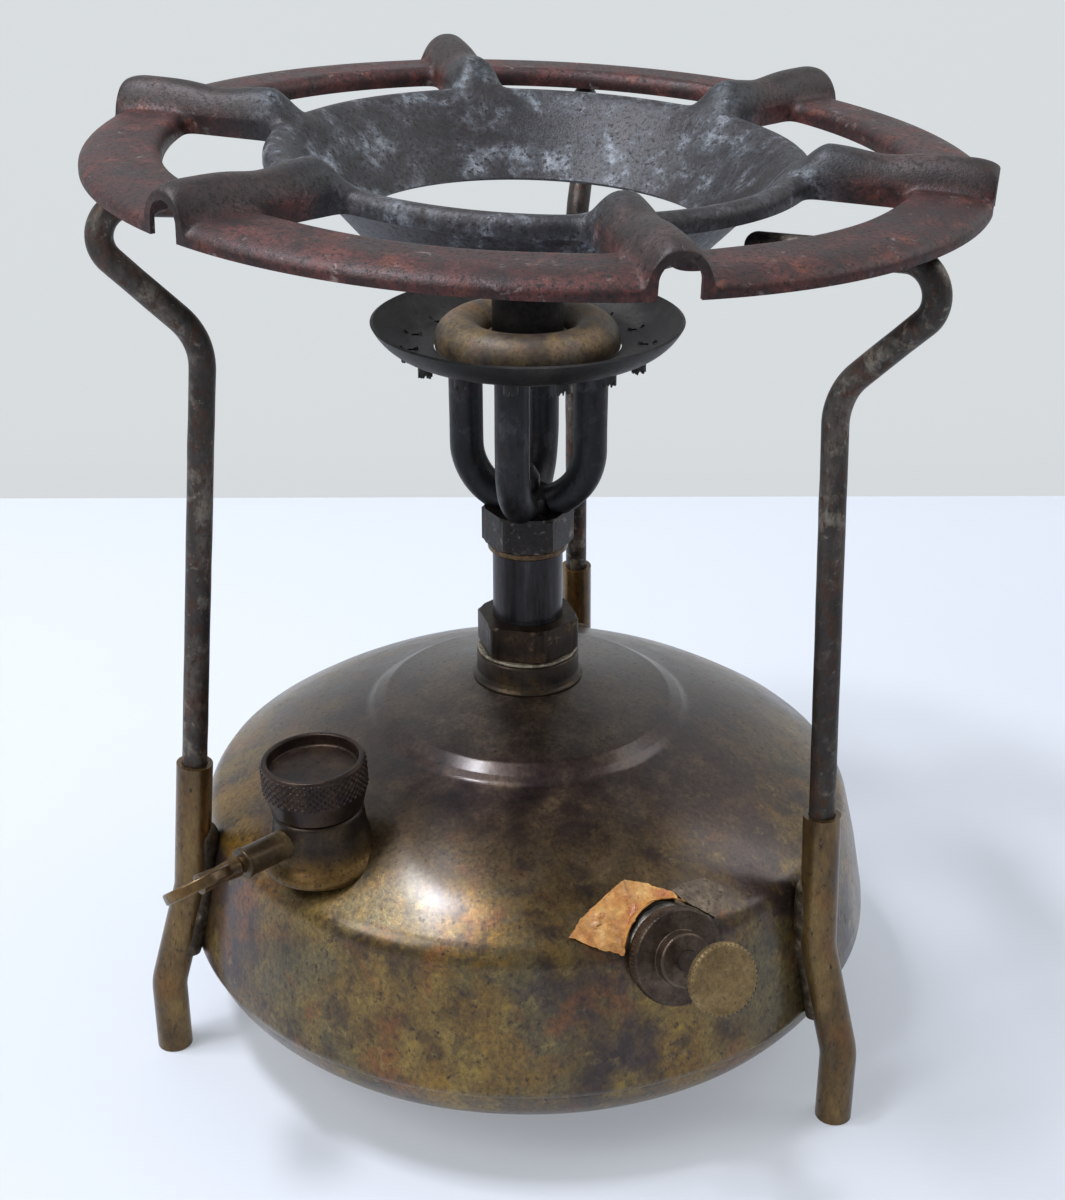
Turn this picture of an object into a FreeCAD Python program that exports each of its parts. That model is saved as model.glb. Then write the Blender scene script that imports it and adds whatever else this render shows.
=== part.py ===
import FreeCAD, Part
import math
import os
from types import SimpleNamespace

import Sketcher
from FreeCAD import Placement, Rotation, Vector

# Brass kerosene pressure stove, in millimetres. +Z is up, the floor is z = 0, and the burner's axis is Z.
# An azimuth is counted from -Y towards +X. A turned piece is drawn as half a section: (radius, height).

# ---------------------------------------------------------------- driving dimensions
SIZES = {
    # tank
    "tank_gauge": 0.9,  # wall of both shells
    "belly_r": 89.6,  # radius where the belly meets the lower band
    "belly_z": 26.8,
    "flare_in": 0.2,  # upper end of the belly's bulge, in from the belly
    "flare_z": 31.5,
    "belly_bend": 5.0,
    "shoulder_in": 4.7,  # top of the side wall, in from the belly
    "shoulder_z": 56.5,
    "side_bend": 60.0,  # the side wall is hollow
    "shoulder_bend": 7.0,
    "dome_in": 8.0,  # outer end of the dome, in from the belly
    "dome_z": 62.3,
    "dome_a": 0.2685,  # three circles on the dome, as shares of the way from the platform to its outer end
    "dome_a_z": 78.26,
    "dome_b": 0.5246,
    "dome_b_z": 73.93,
    "dome_c": 0.7685,
    "dome_c_z": 68.61,
    "step_r": 42.2,  # foot of the raised platform
    "step_z": 81.6,
    "platform_r": 38.0,
    "platform_z": 85.2,
    "crown_z": 91.0,  # flat round the burner bush
    "bowl_lap": 4.0,  # the bowl's rim stands this far up inside the belly
    "bowl_low_in": 9.4,
    "bowl_low_z": 15.6,
    "bowl_hem_in": 17.1,
    "bowl_hem_z": 11.2,
    "bowl_rise": 5.0,  # the bottom is pressed upwards in the middle
    # burner bush
    "bush_r": 13.0,
    "bush_tall": 7.3,
    "bush_spigot_r": 9.8,
    "bush_depth": 7.0,
    "thread_r": 7.0,
    # filler
    "filler_x": -49.3,
    "filler_y": -50.0,
    "filler_z": 70.0,
    "filler_lean": 2.5,
    "filler_lean_azimuth": -75.0,
    "neck_r": 10.8,
    "neck_bore_r": 7.5,
    "neck_thread_r": 9.4,
    "neck_deep": 8.0,
    "neck_shoulder": 12.0,
    "neck_tall": 19.4,
    "fcap_r": 12.5,
    "fcap_foot_r": 10.9,
    "fcap_foot": 4.4,  # height of the taper under the knurl
    "fcap_tall": 12.6,
    "fcap_recess": 3.0,
    "fcap_rim": 1.9,
    "fcap_plate": 1.4,
    "fwasher": 1.2,
    # vent screw
    "vent_z": 6.0,
    "vent_azimuth": -46.0,
    "vent_boss_r": 3.0,
    "vent_boss_end": 23.0,
    "vent_shank_r": 2.0,
    "vent_tip": 10.2,
    "vent_hole_r": 0.8,
    "vent_disc_r": 8.2,
    "vent_disc_thick": 2.7,
    "vent_disc_at": 35.3,
    "vent_disc_turn": 38.0,
    # legs
    "leg_azimuth": 50.05,  # of the right leg; the others stand 120 degrees apart
    "leg_r": 4.45,
    "leg_bore_r": 3.2,
    "foot_out": 8.7,  # how far the foot stands out of the belly
    "foot_tall": 19.5,
    "knee_out": 0.7,  # out of the belly, where the leg reaches the tank's side
    "knee_z": 47.0,
    "leg_upper": 35.0,
    "leg_bend": 16.0,
    "bead_r": 4.6,
    "bead_in": 3.0,
    "bead_low": 29.5,
    "bead_upper": 15.0,
    # support rods
    "rod_r": 3.1,
    "rod_seat": 9.0,
    "rod_straight": 140.7,
    "rod_bend": 16.0,
    "rod_flare": 48.8,
    "rod_slant": 32.0,
    "hook_bend": 7.2,
    "prong": 36.0,
    "prong_droop": 1.0,
    # how each leg leans at the knee, and how much higher than the next its rod is seated
    "lean_in_right": 4.1,
    "lean_side_right": 2.8,
    "raise_right": -4.56,
    "lean_in_back": 4.7,
    "lean_side_back": 0.0,
    "raise_back": 0.75,
    "lean_in_left": 5.25,
    "lean_side_left": 0.3,
    "raise_left": 1.7,
    # how far the ring's inner skirt stands above each prong, which lets its band clear the hook beside it
    "rest_right": 1.35,
    "rest_back": 0.7,
    "rest_left": 0.85,
    # pot ring
    "ring_x": 2.4,
    "ring_y": 1.2,
    "ring_r": 102.5,
    "ring_gauge": 1.0,
    "band_in_r": 84.5,
    "band_tall": 4.3,
    "band_bend": 3.0,
    "lip_r": 62.5,
    "lip_in_r": 57.0,
    "lip_bend": 2.8,
    "funnel_r": 41.0,
    "funnel_deep": 14.0,
    "rib_azimuth": 14.0,
    "rib_wide": 12.6,
    "rib_tall": 11.0,
    "rib_gauge": 1.2,
    "rib_in_r": 55.5,
    # pump
    "pump_azimuth": 22.8,
    "pump_in": 1.6,  # from the belly's radius in to the face of the pump cap, on the pump's axis
    "pump_at_z": 60.3,
    "pump_rise": 20.5,
    "barrel_r": 9.25,
    "barrel_bore_r": 8.5,
    "barrel_mouth": 2.4,
    "barrel_deep": 97.0,
    "barrel_end": 1.6,
    "pcap_r": 11.5,
    "pcap_plate": 2.2,
    "pcap_skirt": 4.2,
    "pcap_boss_r": 6.35,
    "pcap_boss": 3.2,
    "prod_r": 2.4,
    "prod_stub_r": 1.6,
    "prod_shoulder": 66.0,
    "knob_r": 8.3,
    "knob_thick": 2.4,
    "knob_at": 19.1,
    "knob_hub_r": 4.0,
    "knob_hub": 2.6,
    "cup_wall": 1.2,
    "cup_deep": 6.5,
    "cup_washer_r": 6.2,
    "cup_washer": 1.0,
    "cup_nut_flats": 5.9,
    "cup_nut": 2.8,
    # non-return valve
    "valve_flange_r": 6.5,
    "valve_flange": 2.0,
    "valve_r": 4.0,
    "valve_bore_r": 2.9,
    "valve_inlet_r": 0.9,
    "valve_seat": 98.0,  # seat and lower end, down the pump's axis
    "valve_end": 108.0,
    "valve_wall": 1.0,
    "pip_long": 3.0,
    "pip_travel": 0.8,
    "spring_r": 2.3,
    "spring_wire": 0.5,
    "spring_turns": 5.0,
    # burner
    "bwasher": 0.9,
    "nut_flats": 23.0,
    "nut_tall": 8.9,
    "nut_turn": -14.0,
    "nut_screw": 11.0,
    "nut_bore_r": 4.8,
    "riser_lap": 4.0,
    "riser_r": 8.75,
    "riser_bore_r": 7.4,
    "riser_top": 126.4,
    "collar_r": 10.0,
    "collar_tall": 1.9,
    "hub_flats": 20.2,
    "hub_tall": 9.0,
    "hub_turn": 0.0,
    "hub_boss_r": 6.4,
    "hub_boss": 4.7,
    "hub_well_r": 4.0,
    "vtube_r": 4.2,
    "vtube_bore_r": 2.8,
    "vtube_out": 15.45,
    "vtube_azimuth": -14.0,
    "vtube_bend": 15.0,
    "vtube_knee_z": 144.0,
    "vtube_slope": 62.0,  # of the lower run, from upright
    "head_z": 180.0,
    "head_r": 16.25,
    "head_tube_r": 6.05,
    "head_gauge": 1.2,
    "throat_bore_r": 6.6,
    "throat_z": 174.5,
    "throat_tall": 7.0,
    "dish_r": 36.6,
    "dish_rim_z": 185.3,
    "dish_floor_r": 29.0,
    "dish_floor_z": 178.2,
    "dish_bend": 12.0,
    "dish_gauge": 0.8,
    "dish_hole_r": 1.3,
    "dish_hole_at": 28.6,
    "dish_holes": 15,
    "dish_azimuth": 16.0,
    "jet_hole_r": 0.4,
    "jet_r": 3.0,
    "jet_tall": 6.0,
    # flame caps
    "inner_cap_wall": 0.8,
    "inner_cap_top": 200.0,
    "inner_cap_lap": 5.5,
    "inner_cap_disc_r": 7.2,
    "outer_sleeve_r": 8.5,
    "outer_cap_wall": 0.9,
    "drum_r": 14.8,
    "drum_z": 195.5,
    "drum_tall": 10.0,
    "drum_slots": 20,
    "drum_slot": 1.6,
    # clearances
    "fit_gap": 0.1,  # a turning or sliding fit, on the radius
    "rest_gap": 0.5,  # between a loose piece and what it rests on
    "solder_gap": 0.05,
}

doc = FreeCAD.newDocument("Stove")
sheet = doc.addObject("Spreadsheet::Sheet", "Sizes")
for row, (alias, value) in enumerate(SIZES.items(), 1):
    sheet.set(f"A{row}", alias)
    sheet.set(f"B{row}", str(value))
    sheet.setAlias(f"B{row}", alias)
doc.recompute()


class Size:
    """A size of the sheet, or a sum or product of such: its value, and the formula that binds it."""

    def __init__(self, value, text):
        self.value = value
        self.text = text

    def _with(self, other, sign, value, turned=False):
        left, right = (str_of(other), self.text) if turned else (self.text, str_of(other))
        return Size(value, f"({left} {sign} {right})")

    def __add__(self, other):
        return self._with(other, "+", self.value + float(other))

    def __radd__(self, other):
        return self._with(other, "+", self.value + float(other), True)

    def __sub__(self, other):
        return self._with(other, "-", self.value - float(other))

    def __rsub__(self, other):
        return self._with(other, "-", float(other) - self.value, True)

    def __mul__(self, other):
        return self._with(other, "*", self.value * float(other))

    def __rmul__(self, other):
        return self._with(other, "*", self.value * float(other), True)

    def __truediv__(self, other):
        return self._with(other, "/", self.value / float(other))

    def __neg__(self):
        return Size(-self.value, f"(0 - {self.text})")

    def __float__(self):
        return float(self.value)


def str_of(number):
    return number.text if isinstance(number, Size) else repr(float(number))


class Sheet:
    """Gives each size of the sheet by its name, as in d.tank_gauge."""

    def __getattr__(self, alias):
        return Size(float(sheet.get(alias)), f"Sizes.{alias}")


d = Sheet()
n = SimpleNamespace(**{alias: float(sheet.get(alias)) for alias in SIZES})  # the same sizes as plain numbers
UP = Vector(0, 0, 1)
RIBS = 6


def sine(angle):
    return Size(math.sin(math.radians(float(angle))), f"sin({str_of(angle)})")


def cosine(angle):
    return Size(math.cos(math.radians(float(angle))), f"cos({str_of(angle)})")


# ---------------------------------------------------------------- tools of the drawing board
def bind(thing, prop, size):
    if isinstance(size, Size):
        thing.setExpression(prop, size.text)
    else:
        setattr(thing, prop, size)


def seat_text(x, y, z, axis, angle):
    """The formula of a seat: a turn about an axis through the origin, then a move."""
    move = "; ".join(str_of(v) for v in (x, y, z))
    about = "; ".join(str_of(v) for v in axis)
    return f"placement(vector({move}); rotation(vector({about}); {str_of(angle)}))"


def place(thing, seat, along=0.0):
    """Bind a piece's Placement to a seat, shifted along the seat's own Z."""
    shift = seat_text(0.0, 0.0, along, (0.0, 0.0, 1.0), 0.0)
    thing.setExpression("Placement", f"{seat} * {shift}")
    return thing


def arc_between(start, end, radius, side):
    """The short arc that leaves start, bends to one side and reaches end."""
    middle = (start + end) * 0.5
    along = end - start
    half = along.Length / 2
    left = Vector(-along.y, along.x, 0).normalize() * (1 if side == "left" else -1)
    centre = middle + left * math.sqrt(radius ** 2 - half ** 2)
    angles = [math.atan2(p.y - centre.y, p.x - centre.x) for p in (start, end)]
    if side == "right":
        angles.reverse()
    if angles[1] < angles[0]:
        angles[1] += 2 * math.pi
    return Part.ArcOfCircle(Part.Circle(centre, Vector(0, 0, 1), radius), *angles)


def outline(name, corners, closed=True, upright=True):
    """A sketch through bound corners (across, up), or (across, up, side, radius) where an arc leads there."""
    sketch = doc.addObject("Sketcher::SketchObject", name)
    if upright:
        sketch.Placement = Placement(Vector(), Rotation(Vector(1, 0, 0), 90))
    points = [Vector(float(c[0]), float(c[1]), 0) for c in corners]
    count = len(corners)
    ends = []
    for i in range(count if closed else count - 1):
        nxt = (i + 1) % count
        corner = corners[nxt]
        if len(corner) > 2:
            side, radius = corner[2:]
            geo = sketch.addGeometry(arc_between(points[i], points[nxt], float(radius), side), False)
            index = sketch.addConstraint(Sketcher.Constraint("Radius", geo, float(radius)))
            if isinstance(radius, Size):
                sketch.setExpression(f"Constraints[{index}]", radius.text)
            ends.append((geo, 1, 2) if side == "left" else (geo, 2, 1))
        else:
            ends.append((sketch.addGeometry(Part.LineSegment(points[i], points[nxt]), False), 1, 2))
    pins = [(i, geo, first) for i, (geo, first, last) in enumerate(ends)]
    if not closed:
        pins.append((count - 1, ends[-1][0], ends[-1][2]))
    for i, geo, point in pins:
        for kind, size in zip(("DistanceX", "DistanceY"), corners[i][:2]):
            index = sketch.addConstraint(Sketcher.Constraint(kind, -1, 1, geo, point, float(size)))
            if isinstance(size, Size):
                sketch.setExpression(f"Constraints[{index}]", size.text)
    for i, (geo, first, last) in enumerate(ends):
        if closed or i < len(ends) - 1:
            follower = ends[(i + 1) % len(ends)]
            sketch.addConstraint(Sketcher.Constraint("Coincident", geo, last, follower[0], follower[1]))
    return sketch


def spun(name, source):
    """A full turn of an outline about the Z axis."""
    solid = doc.addObject("Part::Revolution", name)
    solid.Source = source
    solid.Axis = Vector(0, 0, 1)
    solid.Base = Vector()
    solid.Angle = 360
    solid.Solid = True
    return solid


def turned(name, corners):
    return spun(name, outline(name + "_outline", corners))


def turned_sheet(name, corners, gauge):
    """A spun sheet-metal shell: its outer line, and its gauge laid to the right of the line's direction."""
    strip = doc.addObject("Part::Offset2D", name + "_strip")
    strip.Source = outline(name + "_outline", corners, closed=False)
    strip.Mode = "Skin"
    strip.Join = "Intersection"
    strip.Fill = True
    bind(strip, "Value", -gauge)
    return spun(name, strip)


def rod_of(name, radius, tall, z=0.0):
    solid = doc.addObject("Part::Cylinder", name)
    bind(solid, "Radius", radius)
    bind(solid, "Height", tall)
    solid.setExpression("Placement.Base.z", str_of(z))
    return solid


def lay(thing, azimuth, radius, height=0.0):
    """Stand an upright section square to an azimuth, so that its extrusion runs outwards from a radius."""
    move = "; ".join(str_of(v) for v in (radius * sine(azimuth), radius * -cosine(azimuth), height))
    thing.setExpression("Placement", f"placement(vector({move}); rotation({str_of(azimuth)}; 0; 90))")
    return thing


def extruded(name, sketch, long):
    bar = doc.addObject("Part::Extrusion", name)
    bar.Base = sketch
    bar.DirMode = "Custom"
    bar.Dir = Vector(0, 0, 1)
    bar.Solid = True
    bind(bar, "LengthFwd", long)
    return bar


def hexagon(name, across_flats, tall):
    solid = doc.addObject("Part::Prism", name)
    solid.Polygon = 6
    bind(solid, "Circumradius", across_flats / math.sqrt(3))
    bind(solid, "Height", tall)
    return solid


def fused(name, shapes):
    solid = doc.addObject("Part::MultiFuse", name)
    solid.Shapes = shapes
    return solid


def shared(name, shapes):
    solid = doc.addObject("Part::MultiCommon", name)
    solid.Shapes = shapes
    return solid


def less(name, base, tools):
    """The base with one or more tools cut away."""
    solid = doc.addObject("Part::Cut", name)
    solid.Base = base
    solid.Tool = tools[0] if len(tools) == 1 else fused(name + "_tools", tools)
    return solid


def bent_line(name, points, radii):
    """A path of straight runs joined by tangent arcs, one arc at each inner point."""
    edges = []
    here = points[0]
    for before, corner, after, radius in zip(points, points[1:], points[2:], radii):
        back = (before - corner).normalize()
        ahead = (after - corner).normalize()
        half = back.getAngle(ahead) / 2
        reach = float(radius) / math.tan(half)
        start = corner + back * reach
        end = corner + ahead * reach
        middle = corner + (back + ahead).normalize() * (float(radius) / math.sin(half) - float(radius))
        if here.distanceToPoint(start) > 1e-6:
            edges.append(Part.LineSegment(here, start).toShape())
        edges.append(Part.Arc(start, middle, end).toShape())
        here = end
    edges.append(Part.LineSegment(here, points[-1]).toShape())
    path = doc.addObject("Part::Feature", name)
    path.Shape = Part.Wire(edges)
    return path


def swept(name, path, radius):
    """A round bar along a path."""
    section = doc.addObject("Part::Circle", name + "_section")
    bind(section, "Radius", radius)
    first = path.Shape.Edges[0]
    along = first.tangentAt(first.FirstParameter)
    section.Placement = Placement(first.Vertexes[0].Point, Rotation(Vector(0, 0, 1), along))
    bar = doc.addObject("Part::Sweep", name)
    bar.Sections = [section]
    bar.Spine = (path, [f"Edge{i + 1}" for i in range(len(path.Shape.Edges))])
    bar.Solid = True
    bar.Frenet = False
    return bar


nodes = []


def node(thing, label):
    """Take a finished object as a sub-part: its Label names its file."""
    thing.Label = label
    nodes.append(thing)
    return thing


# ---------------------------------------------------------------- tank
def tank_line():
    """The outer line of the tank top, from the bush down to the belly's lower edge."""
    dome = d.belly_r - d.dome_in
    return [
        (d.bush_spigot_r + d.solder_gap, d.crown_z),
        (d.bush_r + 1.2, d.crown_z),
        (d.platform_r - 0.6, d.platform_z),
        (d.platform_r + 1.2, d.platform_z - 1.3, "right", 2.6),
        (d.step_r - 1.6, d.step_z + 0.8),
        (d.step_r, d.step_z, "left", 4.5),
        (d.step_r + (dome - d.step_r) * d.dome_a, d.dome_a_z),
        (d.step_r + (dome - d.step_r) * d.dome_b, d.dome_b_z),
        (d.step_r + (dome - d.step_r) * d.dome_c, d.dome_c_z),
        (dome, d.dome_z),
        (d.belly_r - d.shoulder_in, d.shoulder_z, "right", d.shoulder_bend),
        (d.belly_r - d.flare_in, d.flare_z, "left", d.side_bend),
        (d.belly_r, d.belly_z, "right", d.belly_bend),
    ]


def on_filler(thing, along=0.0):
    """Stand a piece on the filler's axis: local +Z points upwards, from the dome's surface."""
    axis = (cosine(d.filler_lean_azimuth), sine(d.filler_lean_azimuth), 0.0)
    return place(thing, seat_text(d.filler_x, d.filler_y, d.filler_z, axis, d.filler_lean), along)


def pump_seat():
    x = (d.belly_r - d.pump_in) * sine(d.pump_azimuth)
    y = -(d.belly_r - d.pump_in) * cosine(d.pump_azimuth)
    axis = (cosine(d.pump_azimuth), sine(d.pump_azimuth), 0.0)
    return seat_text(x, y, d.pump_at_z, axis, 90 - d.pump_rise)


def on_pump(thing, along=0.0):
    """Stand a piece on the pump's axis: local +Z points out of the tank, from the face of the pump cap."""
    return place(thing, pump_seat(), along)


# the tank as one full solid, to trim what is soldered against it
tank_block = turned("tank_block", [(0.0, d.crown_z)] + tank_line()[1:] + [(0.0, d.belly_z)])


def make_tank():
    shell = turned_sheet("top_shell", tank_line(), d.tank_gauge)
    filler_hole = on_filler(rod_of("filler_hole", d.neck_r + d.solder_gap, 60.0), -30.0)
    pump_hole = on_pump(rod_of("pump_hole", d.barrel_r + d.solder_gap, 40.0), -40.0)
    node(less("TankTop", shell, [filler_hole, pump_hole]), "tank_top")

    lap_r = d.belly_r - d.tank_gauge - d.solder_gap
    hem_r = d.belly_r - d.bowl_hem_in
    bowl = [
        (lap_r - 0.5, d.belly_z + d.bowl_lap),
        (lap_r, d.belly_z),
        (d.belly_r - d.bowl_low_in, d.bowl_low_z, "right", 30.0),
        (hem_r, d.bowl_hem_z, "right", 11.0),
        (hem_r - 5.0, d.bowl_hem_z + 1.0, "right", 6.0),
        (0.0, d.bowl_hem_z + d.bowl_rise),
    ]
    node(turned_sheet("TankBowl", bowl, d.tank_gauge), "tank_bowl")

    bush = [
        (d.thread_r, d.crown_z - d.bush_depth),
        (d.bush_spigot_r, d.crown_z - d.bush_depth),
        (d.bush_spigot_r, d.crown_z),
        (d.bush_r, d.crown_z),
        (d.bush_r, d.crown_z + d.bush_tall - 0.6),
        (d.bush_r - 0.6, d.crown_z + d.bush_tall),
        (d.thread_r, d.crown_z + d.bush_tall),
    ]
    node(turned("BurnerBush", bush), "burner_bush")


# ---------------------------------------------------------------- legs and rods
LEGS = {"right": 0, "back": 1, "left": 2}  # thirds of a turn round the tank


class Leg:
    """The lines that one leg and its rod follow, from the sizes."""

    def __init__(self, side):
        azimuth = math.radians(n.leg_azimuth + 120 * LEGS[side])
        lean_in = math.radians(getattr(n, "lean_in_" + side))
        lean_side = math.radians(getattr(n, "lean_side_" + side))
        self.lift = getattr(n, "raise_" + side)
        self.out = Vector(math.sin(azimuth), -math.cos(azimuth), 0)
        round_it = Vector(math.cos(azimuth), math.sin(azimuth), 0)
        self.axis = (UP - self.out * math.tan(lean_in) + round_it * math.tan(lean_side)).normalize()
        self.knee = self.out * (n.belly_r + n.knee_out) + UP * n.knee_z

    def tube_points(self):
        foot = self.out * (n.belly_r + n.foot_out)
        return [foot, foot + UP * n.foot_tall, self.knee, self.knee + self.axis * n.leg_upper]

    def bead_points(self):
        foot_top, knee = self.tube_points()[1:3]
        share = (n.bead_low - n.foot_tall) / (n.knee_z - n.foot_tall)
        line = [foot_top + (knee - foot_top) * share, knee, knee + self.axis * n.bead_upper]
        return [point - self.out * n.bead_in for point in line]

    def rod_points(self):
        outward = (self.out - self.axis * self.out.dot(self.axis)).normalize()
        flare = math.radians(n.rod_flare)
        slant = self.axis * math.cos(flare) + outward * math.sin(flare)
        droop = math.radians(n.prong_droop)
        prong = -outward * math.cos(droop) - self.axis * math.sin(droop)
        shoulder = n.hook_bend * math.tan(slant.getAngle(prong) / 4)
        foot = self.knee + self.axis * (n.rod_seat + self.lift)
        bend = self.knee + self.axis * (n.rod_straight + self.lift)
        hook_low = bend + slant * n.rod_slant
        hook_top = hook_low + (slant + prong).normalize() * 2 * shoulder
        return [foot, bend, hook_low, hook_top, hook_top + prong * (shoulder + n.prong)]


def make_leg(side):
    leg = Leg(side)
    path = bent_line(f"leg_{side}_line", leg.tube_points(), [n.leg_bend] * 2)
    outer = swept(f"leg_{side}_outer", path, d.leg_r)
    bore = swept(f"leg_{side}_bore", path, d.leg_bore_r)
    node(less(f"Leg{side}", outer, [bore]), f"leg_tube_{side}")
    bead_path = bent_line(f"bead_{side}_line", leg.bead_points(), [n.leg_bend])
    bead = swept(f"bead_{side}_bar", bead_path, d.bead_r)
    node(less(f"LegSolder{side}", bead, [outer, tank_block]), f"leg_solder_{side}")


def make_rod(side):
    points = Leg(side).rod_points()
    path = bent_line(f"rod_{side}_line", points, [n.rod_bend, n.hook_bend, n.hook_bend])
    bar = swept(f"rod_{side}_bar", path, d.rod_r)
    end = doc.addObject("Part::Sphere", f"rod_{side}_end")
    bind(end, "Radius", d.rod_r)
    end.Placement.Base = points[-1]
    node(fused(f"Rod{side}", [bar, end]), f"support_rod_{side}")


# ---------------------------------------------------------------- pot ring
def ring_seat():
    """Where the ring lies: its band clears the top of each hook, so its skirt stands a little above each prong."""
    centre = Vector(n.ring_x, n.ring_y, 0)
    reach = n.band_in_r + n.ring_gauge / 2
    seats = []
    for side in LEGS:
        outer, inner = Leg(side).rod_points()[-2:]
        low, high = 0.0, 1.0
        for _ in range(40):
            share = (low + high) / 2
            point = outer + (inner - outer) * share
            if (Vector(point.x, point.y, 0) - centre).Length > reach:
                low = share
            else:
                high = share
        seats.append(point + UP * (n.rod_r + getattr(n, "rest_" + side)))
    normal = (seats[1] - seats[0]).cross(seats[2] - seats[0]).normalize()
    height = (seats[0] - centre).dot(normal) / normal.z
    return Placement(centre + UP * height, Rotation(UP, normal))


def rib_arch(name, half_wide, top, long):
    """A bar of arched section: straight sides under a round top."""
    corners = [
        (half_wide, 0.0),
        (half_wide, top - half_wide),
        (0.0, top, "left", half_wide),
        (-half_wide, top - half_wide, "left", half_wide),
        (-half_wide, 0.0),
    ]
    return extruded(name, outline(name + "_outline", corners, upright=False), long)


def make_ring():
    band = [
        (d.band_in_r, 0.0),
        (d.band_in_r, d.band_tall - d.band_bend),
        (d.band_in_r + d.band_bend, d.band_tall, "right", d.band_bend),
        (d.ring_r - d.band_bend, d.band_tall),
        (d.ring_r, d.band_tall - d.band_bend, "right", d.band_bend),
        (d.ring_r, 0.0),
    ]
    funnel = [
        (d.funnel_r, -d.funnel_deep),
        (d.lip_in_r - 1.2, d.band_tall - 2.2),
        (d.lip_in_r + 1.6, d.band_tall, "right", 4.5),
        (d.lip_r - d.lip_bend, d.band_tall),
        (d.lip_r, d.band_tall - d.lip_bend, "right", d.lip_bend),
        (d.lip_r, 0.0),
    ]
    parts = [turned_sheet("band", band, d.ring_gauge), turned_sheet("funnel", funnel, d.ring_gauge)]
    channels = []
    for i in range(RIBS):
        for kind, half, top, start, end, keep in (
            ("rib", d.rib_wide / 2, d.rib_tall, d.rib_in_r, d.ring_r, parts),
            ("channel", d.rib_wide / 2 - d.rib_gauge, d.rib_tall - d.rib_gauge,
             d.rib_in_r + d.rib_gauge + 1.4, d.ring_r + 2.0, channels),
        ):
            bar = rib_arch(f"{kind}_{i}", half, top, end - start)
            keep.append(lay(bar, d.rib_azimuth + 360.0 / RIBS * i, start))
    body = fused("ring_body", parts)
    upper = shared("ring_upper", [body, rod_of("ring_edge", d.ring_r, 40.0)])
    ring = less("PotRing", upper, channels)
    # the real ring is one pressing; what hangs below its edge is a node of its own, so that collision follows both
    lower = rod_of("funnel_edge", d.ring_r, 40.0, -40.0 - d.solder_gap)
    funnel = shared("RingFunnel", [body, lower])
    for thing, name in ((ring, "pot_ring"), (funnel, "ring_funnel")):
        thing.Placement = ring_seat()
        node(thing, name)


# ---------------------------------------------------------------- filler
def on_vent(thing, along=0.0):
    """Lay a piece on the vent screw's axis: local +Z points outwards from the filler's axis."""
    axis = (cosine(d.vent_azimuth), sine(d.vent_azimuth), 0.0)
    return place(thing, seat_text(d.filler_x, d.filler_y, d.filler_z + d.vent_z, axis, 90.0), along)


def make_filler():
    top = d.neck_tall
    neck = [
        (d.neck_bore_r, -d.neck_deep),
        (d.neck_r, -d.neck_deep),
        (d.neck_r, d.neck_shoulder - 1.5),
        (d.neck_r - 0.6, d.neck_shoulder),
        (d.neck_thread_r, d.neck_shoulder),
        (d.neck_thread_r, top),
        (d.neck_bore_r, top),
    ]
    neck_body = on_filler(turned("neck", neck))
    root = d.neck_bore_r + 1.0
    boss = on_vent(rod_of("vent_boss", d.vent_boss_r, d.vent_boss_end - root), root)
    thread = on_vent(rod_of("vent_thread", d.vent_shank_r + d.fit_gap, 30.0), d.vent_tip - 0.6)
    hole = on_vent(rod_of("vent_hole", d.vent_hole_r, 10.0), d.neck_bore_r - 4.0)
    node(less("FillerNeck", fused("neck_and_boss", [neck_body, boss]), [thread, hole]), "filler_neck")

    low = d.neck_shoulder + 0.4
    crest = low + d.fcap_tall
    floor = crest - d.fcap_recess
    bore = d.neck_thread_r + d.fit_gap
    cap = [
        (0.0, floor - d.fcap_plate),
        (bore, floor - d.fcap_plate),
        (bore, low),
        (d.fcap_foot_r, low),
        (d.fcap_r, low + d.fcap_foot),
        (d.fcap_r, crest - 0.5),
        (d.fcap_r - 0.5, crest),
        (d.fcap_r - d.fcap_rim, crest),
        (d.fcap_r - d.fcap_rim, floor),
        (0.0, floor),
    ]
    node(on_filler(turned("FillerCap", cap)), "filler_cap")
    washer = [
        (d.neck_bore_r, top + d.solder_gap),
        (bore - 0.2, top + d.solder_gap),
        (bore - 0.2, floor - d.fcap_plate - d.solder_gap),
        (d.neck_bore_r, floor - d.fcap_plate - d.solder_gap),
    ]
    node(on_filler(turned("FillerWasher", washer)), "filler_washer")


def make_vent_screw():
    shank = [
        (0.0, d.vent_tip),
        (d.vent_hole_r + 0.5, d.vent_tip),
        (d.vent_shank_r, d.vent_tip + 1.6),
        (d.vent_shank_r, d.vent_disc_at),
        (0.0, d.vent_disc_at),
    ]
    pin = on_vent(turned("vent_shank", shank))
    # the thumb disc stands edge-on in the pin's line, rolled about it
    disc = rod_of("vent_disc", d.vent_disc_r, d.vent_disc_thick)
    x = d.filler_x + d.vent_disc_at * sine(d.vent_azimuth)
    y = d.filler_y - d.vent_disc_at * cosine(d.vent_azimuth)
    outward = (sine(d.vent_azimuth), -cosine(d.vent_azimuth), 0.0)
    place(disc, seat_text(x, y, d.filler_z + d.vent_z, outward, d.vent_disc_turn), -(d.vent_disc_thick / 2))
    node(fused("VentScrew", [pin, disc]), "vent_screw")


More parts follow.
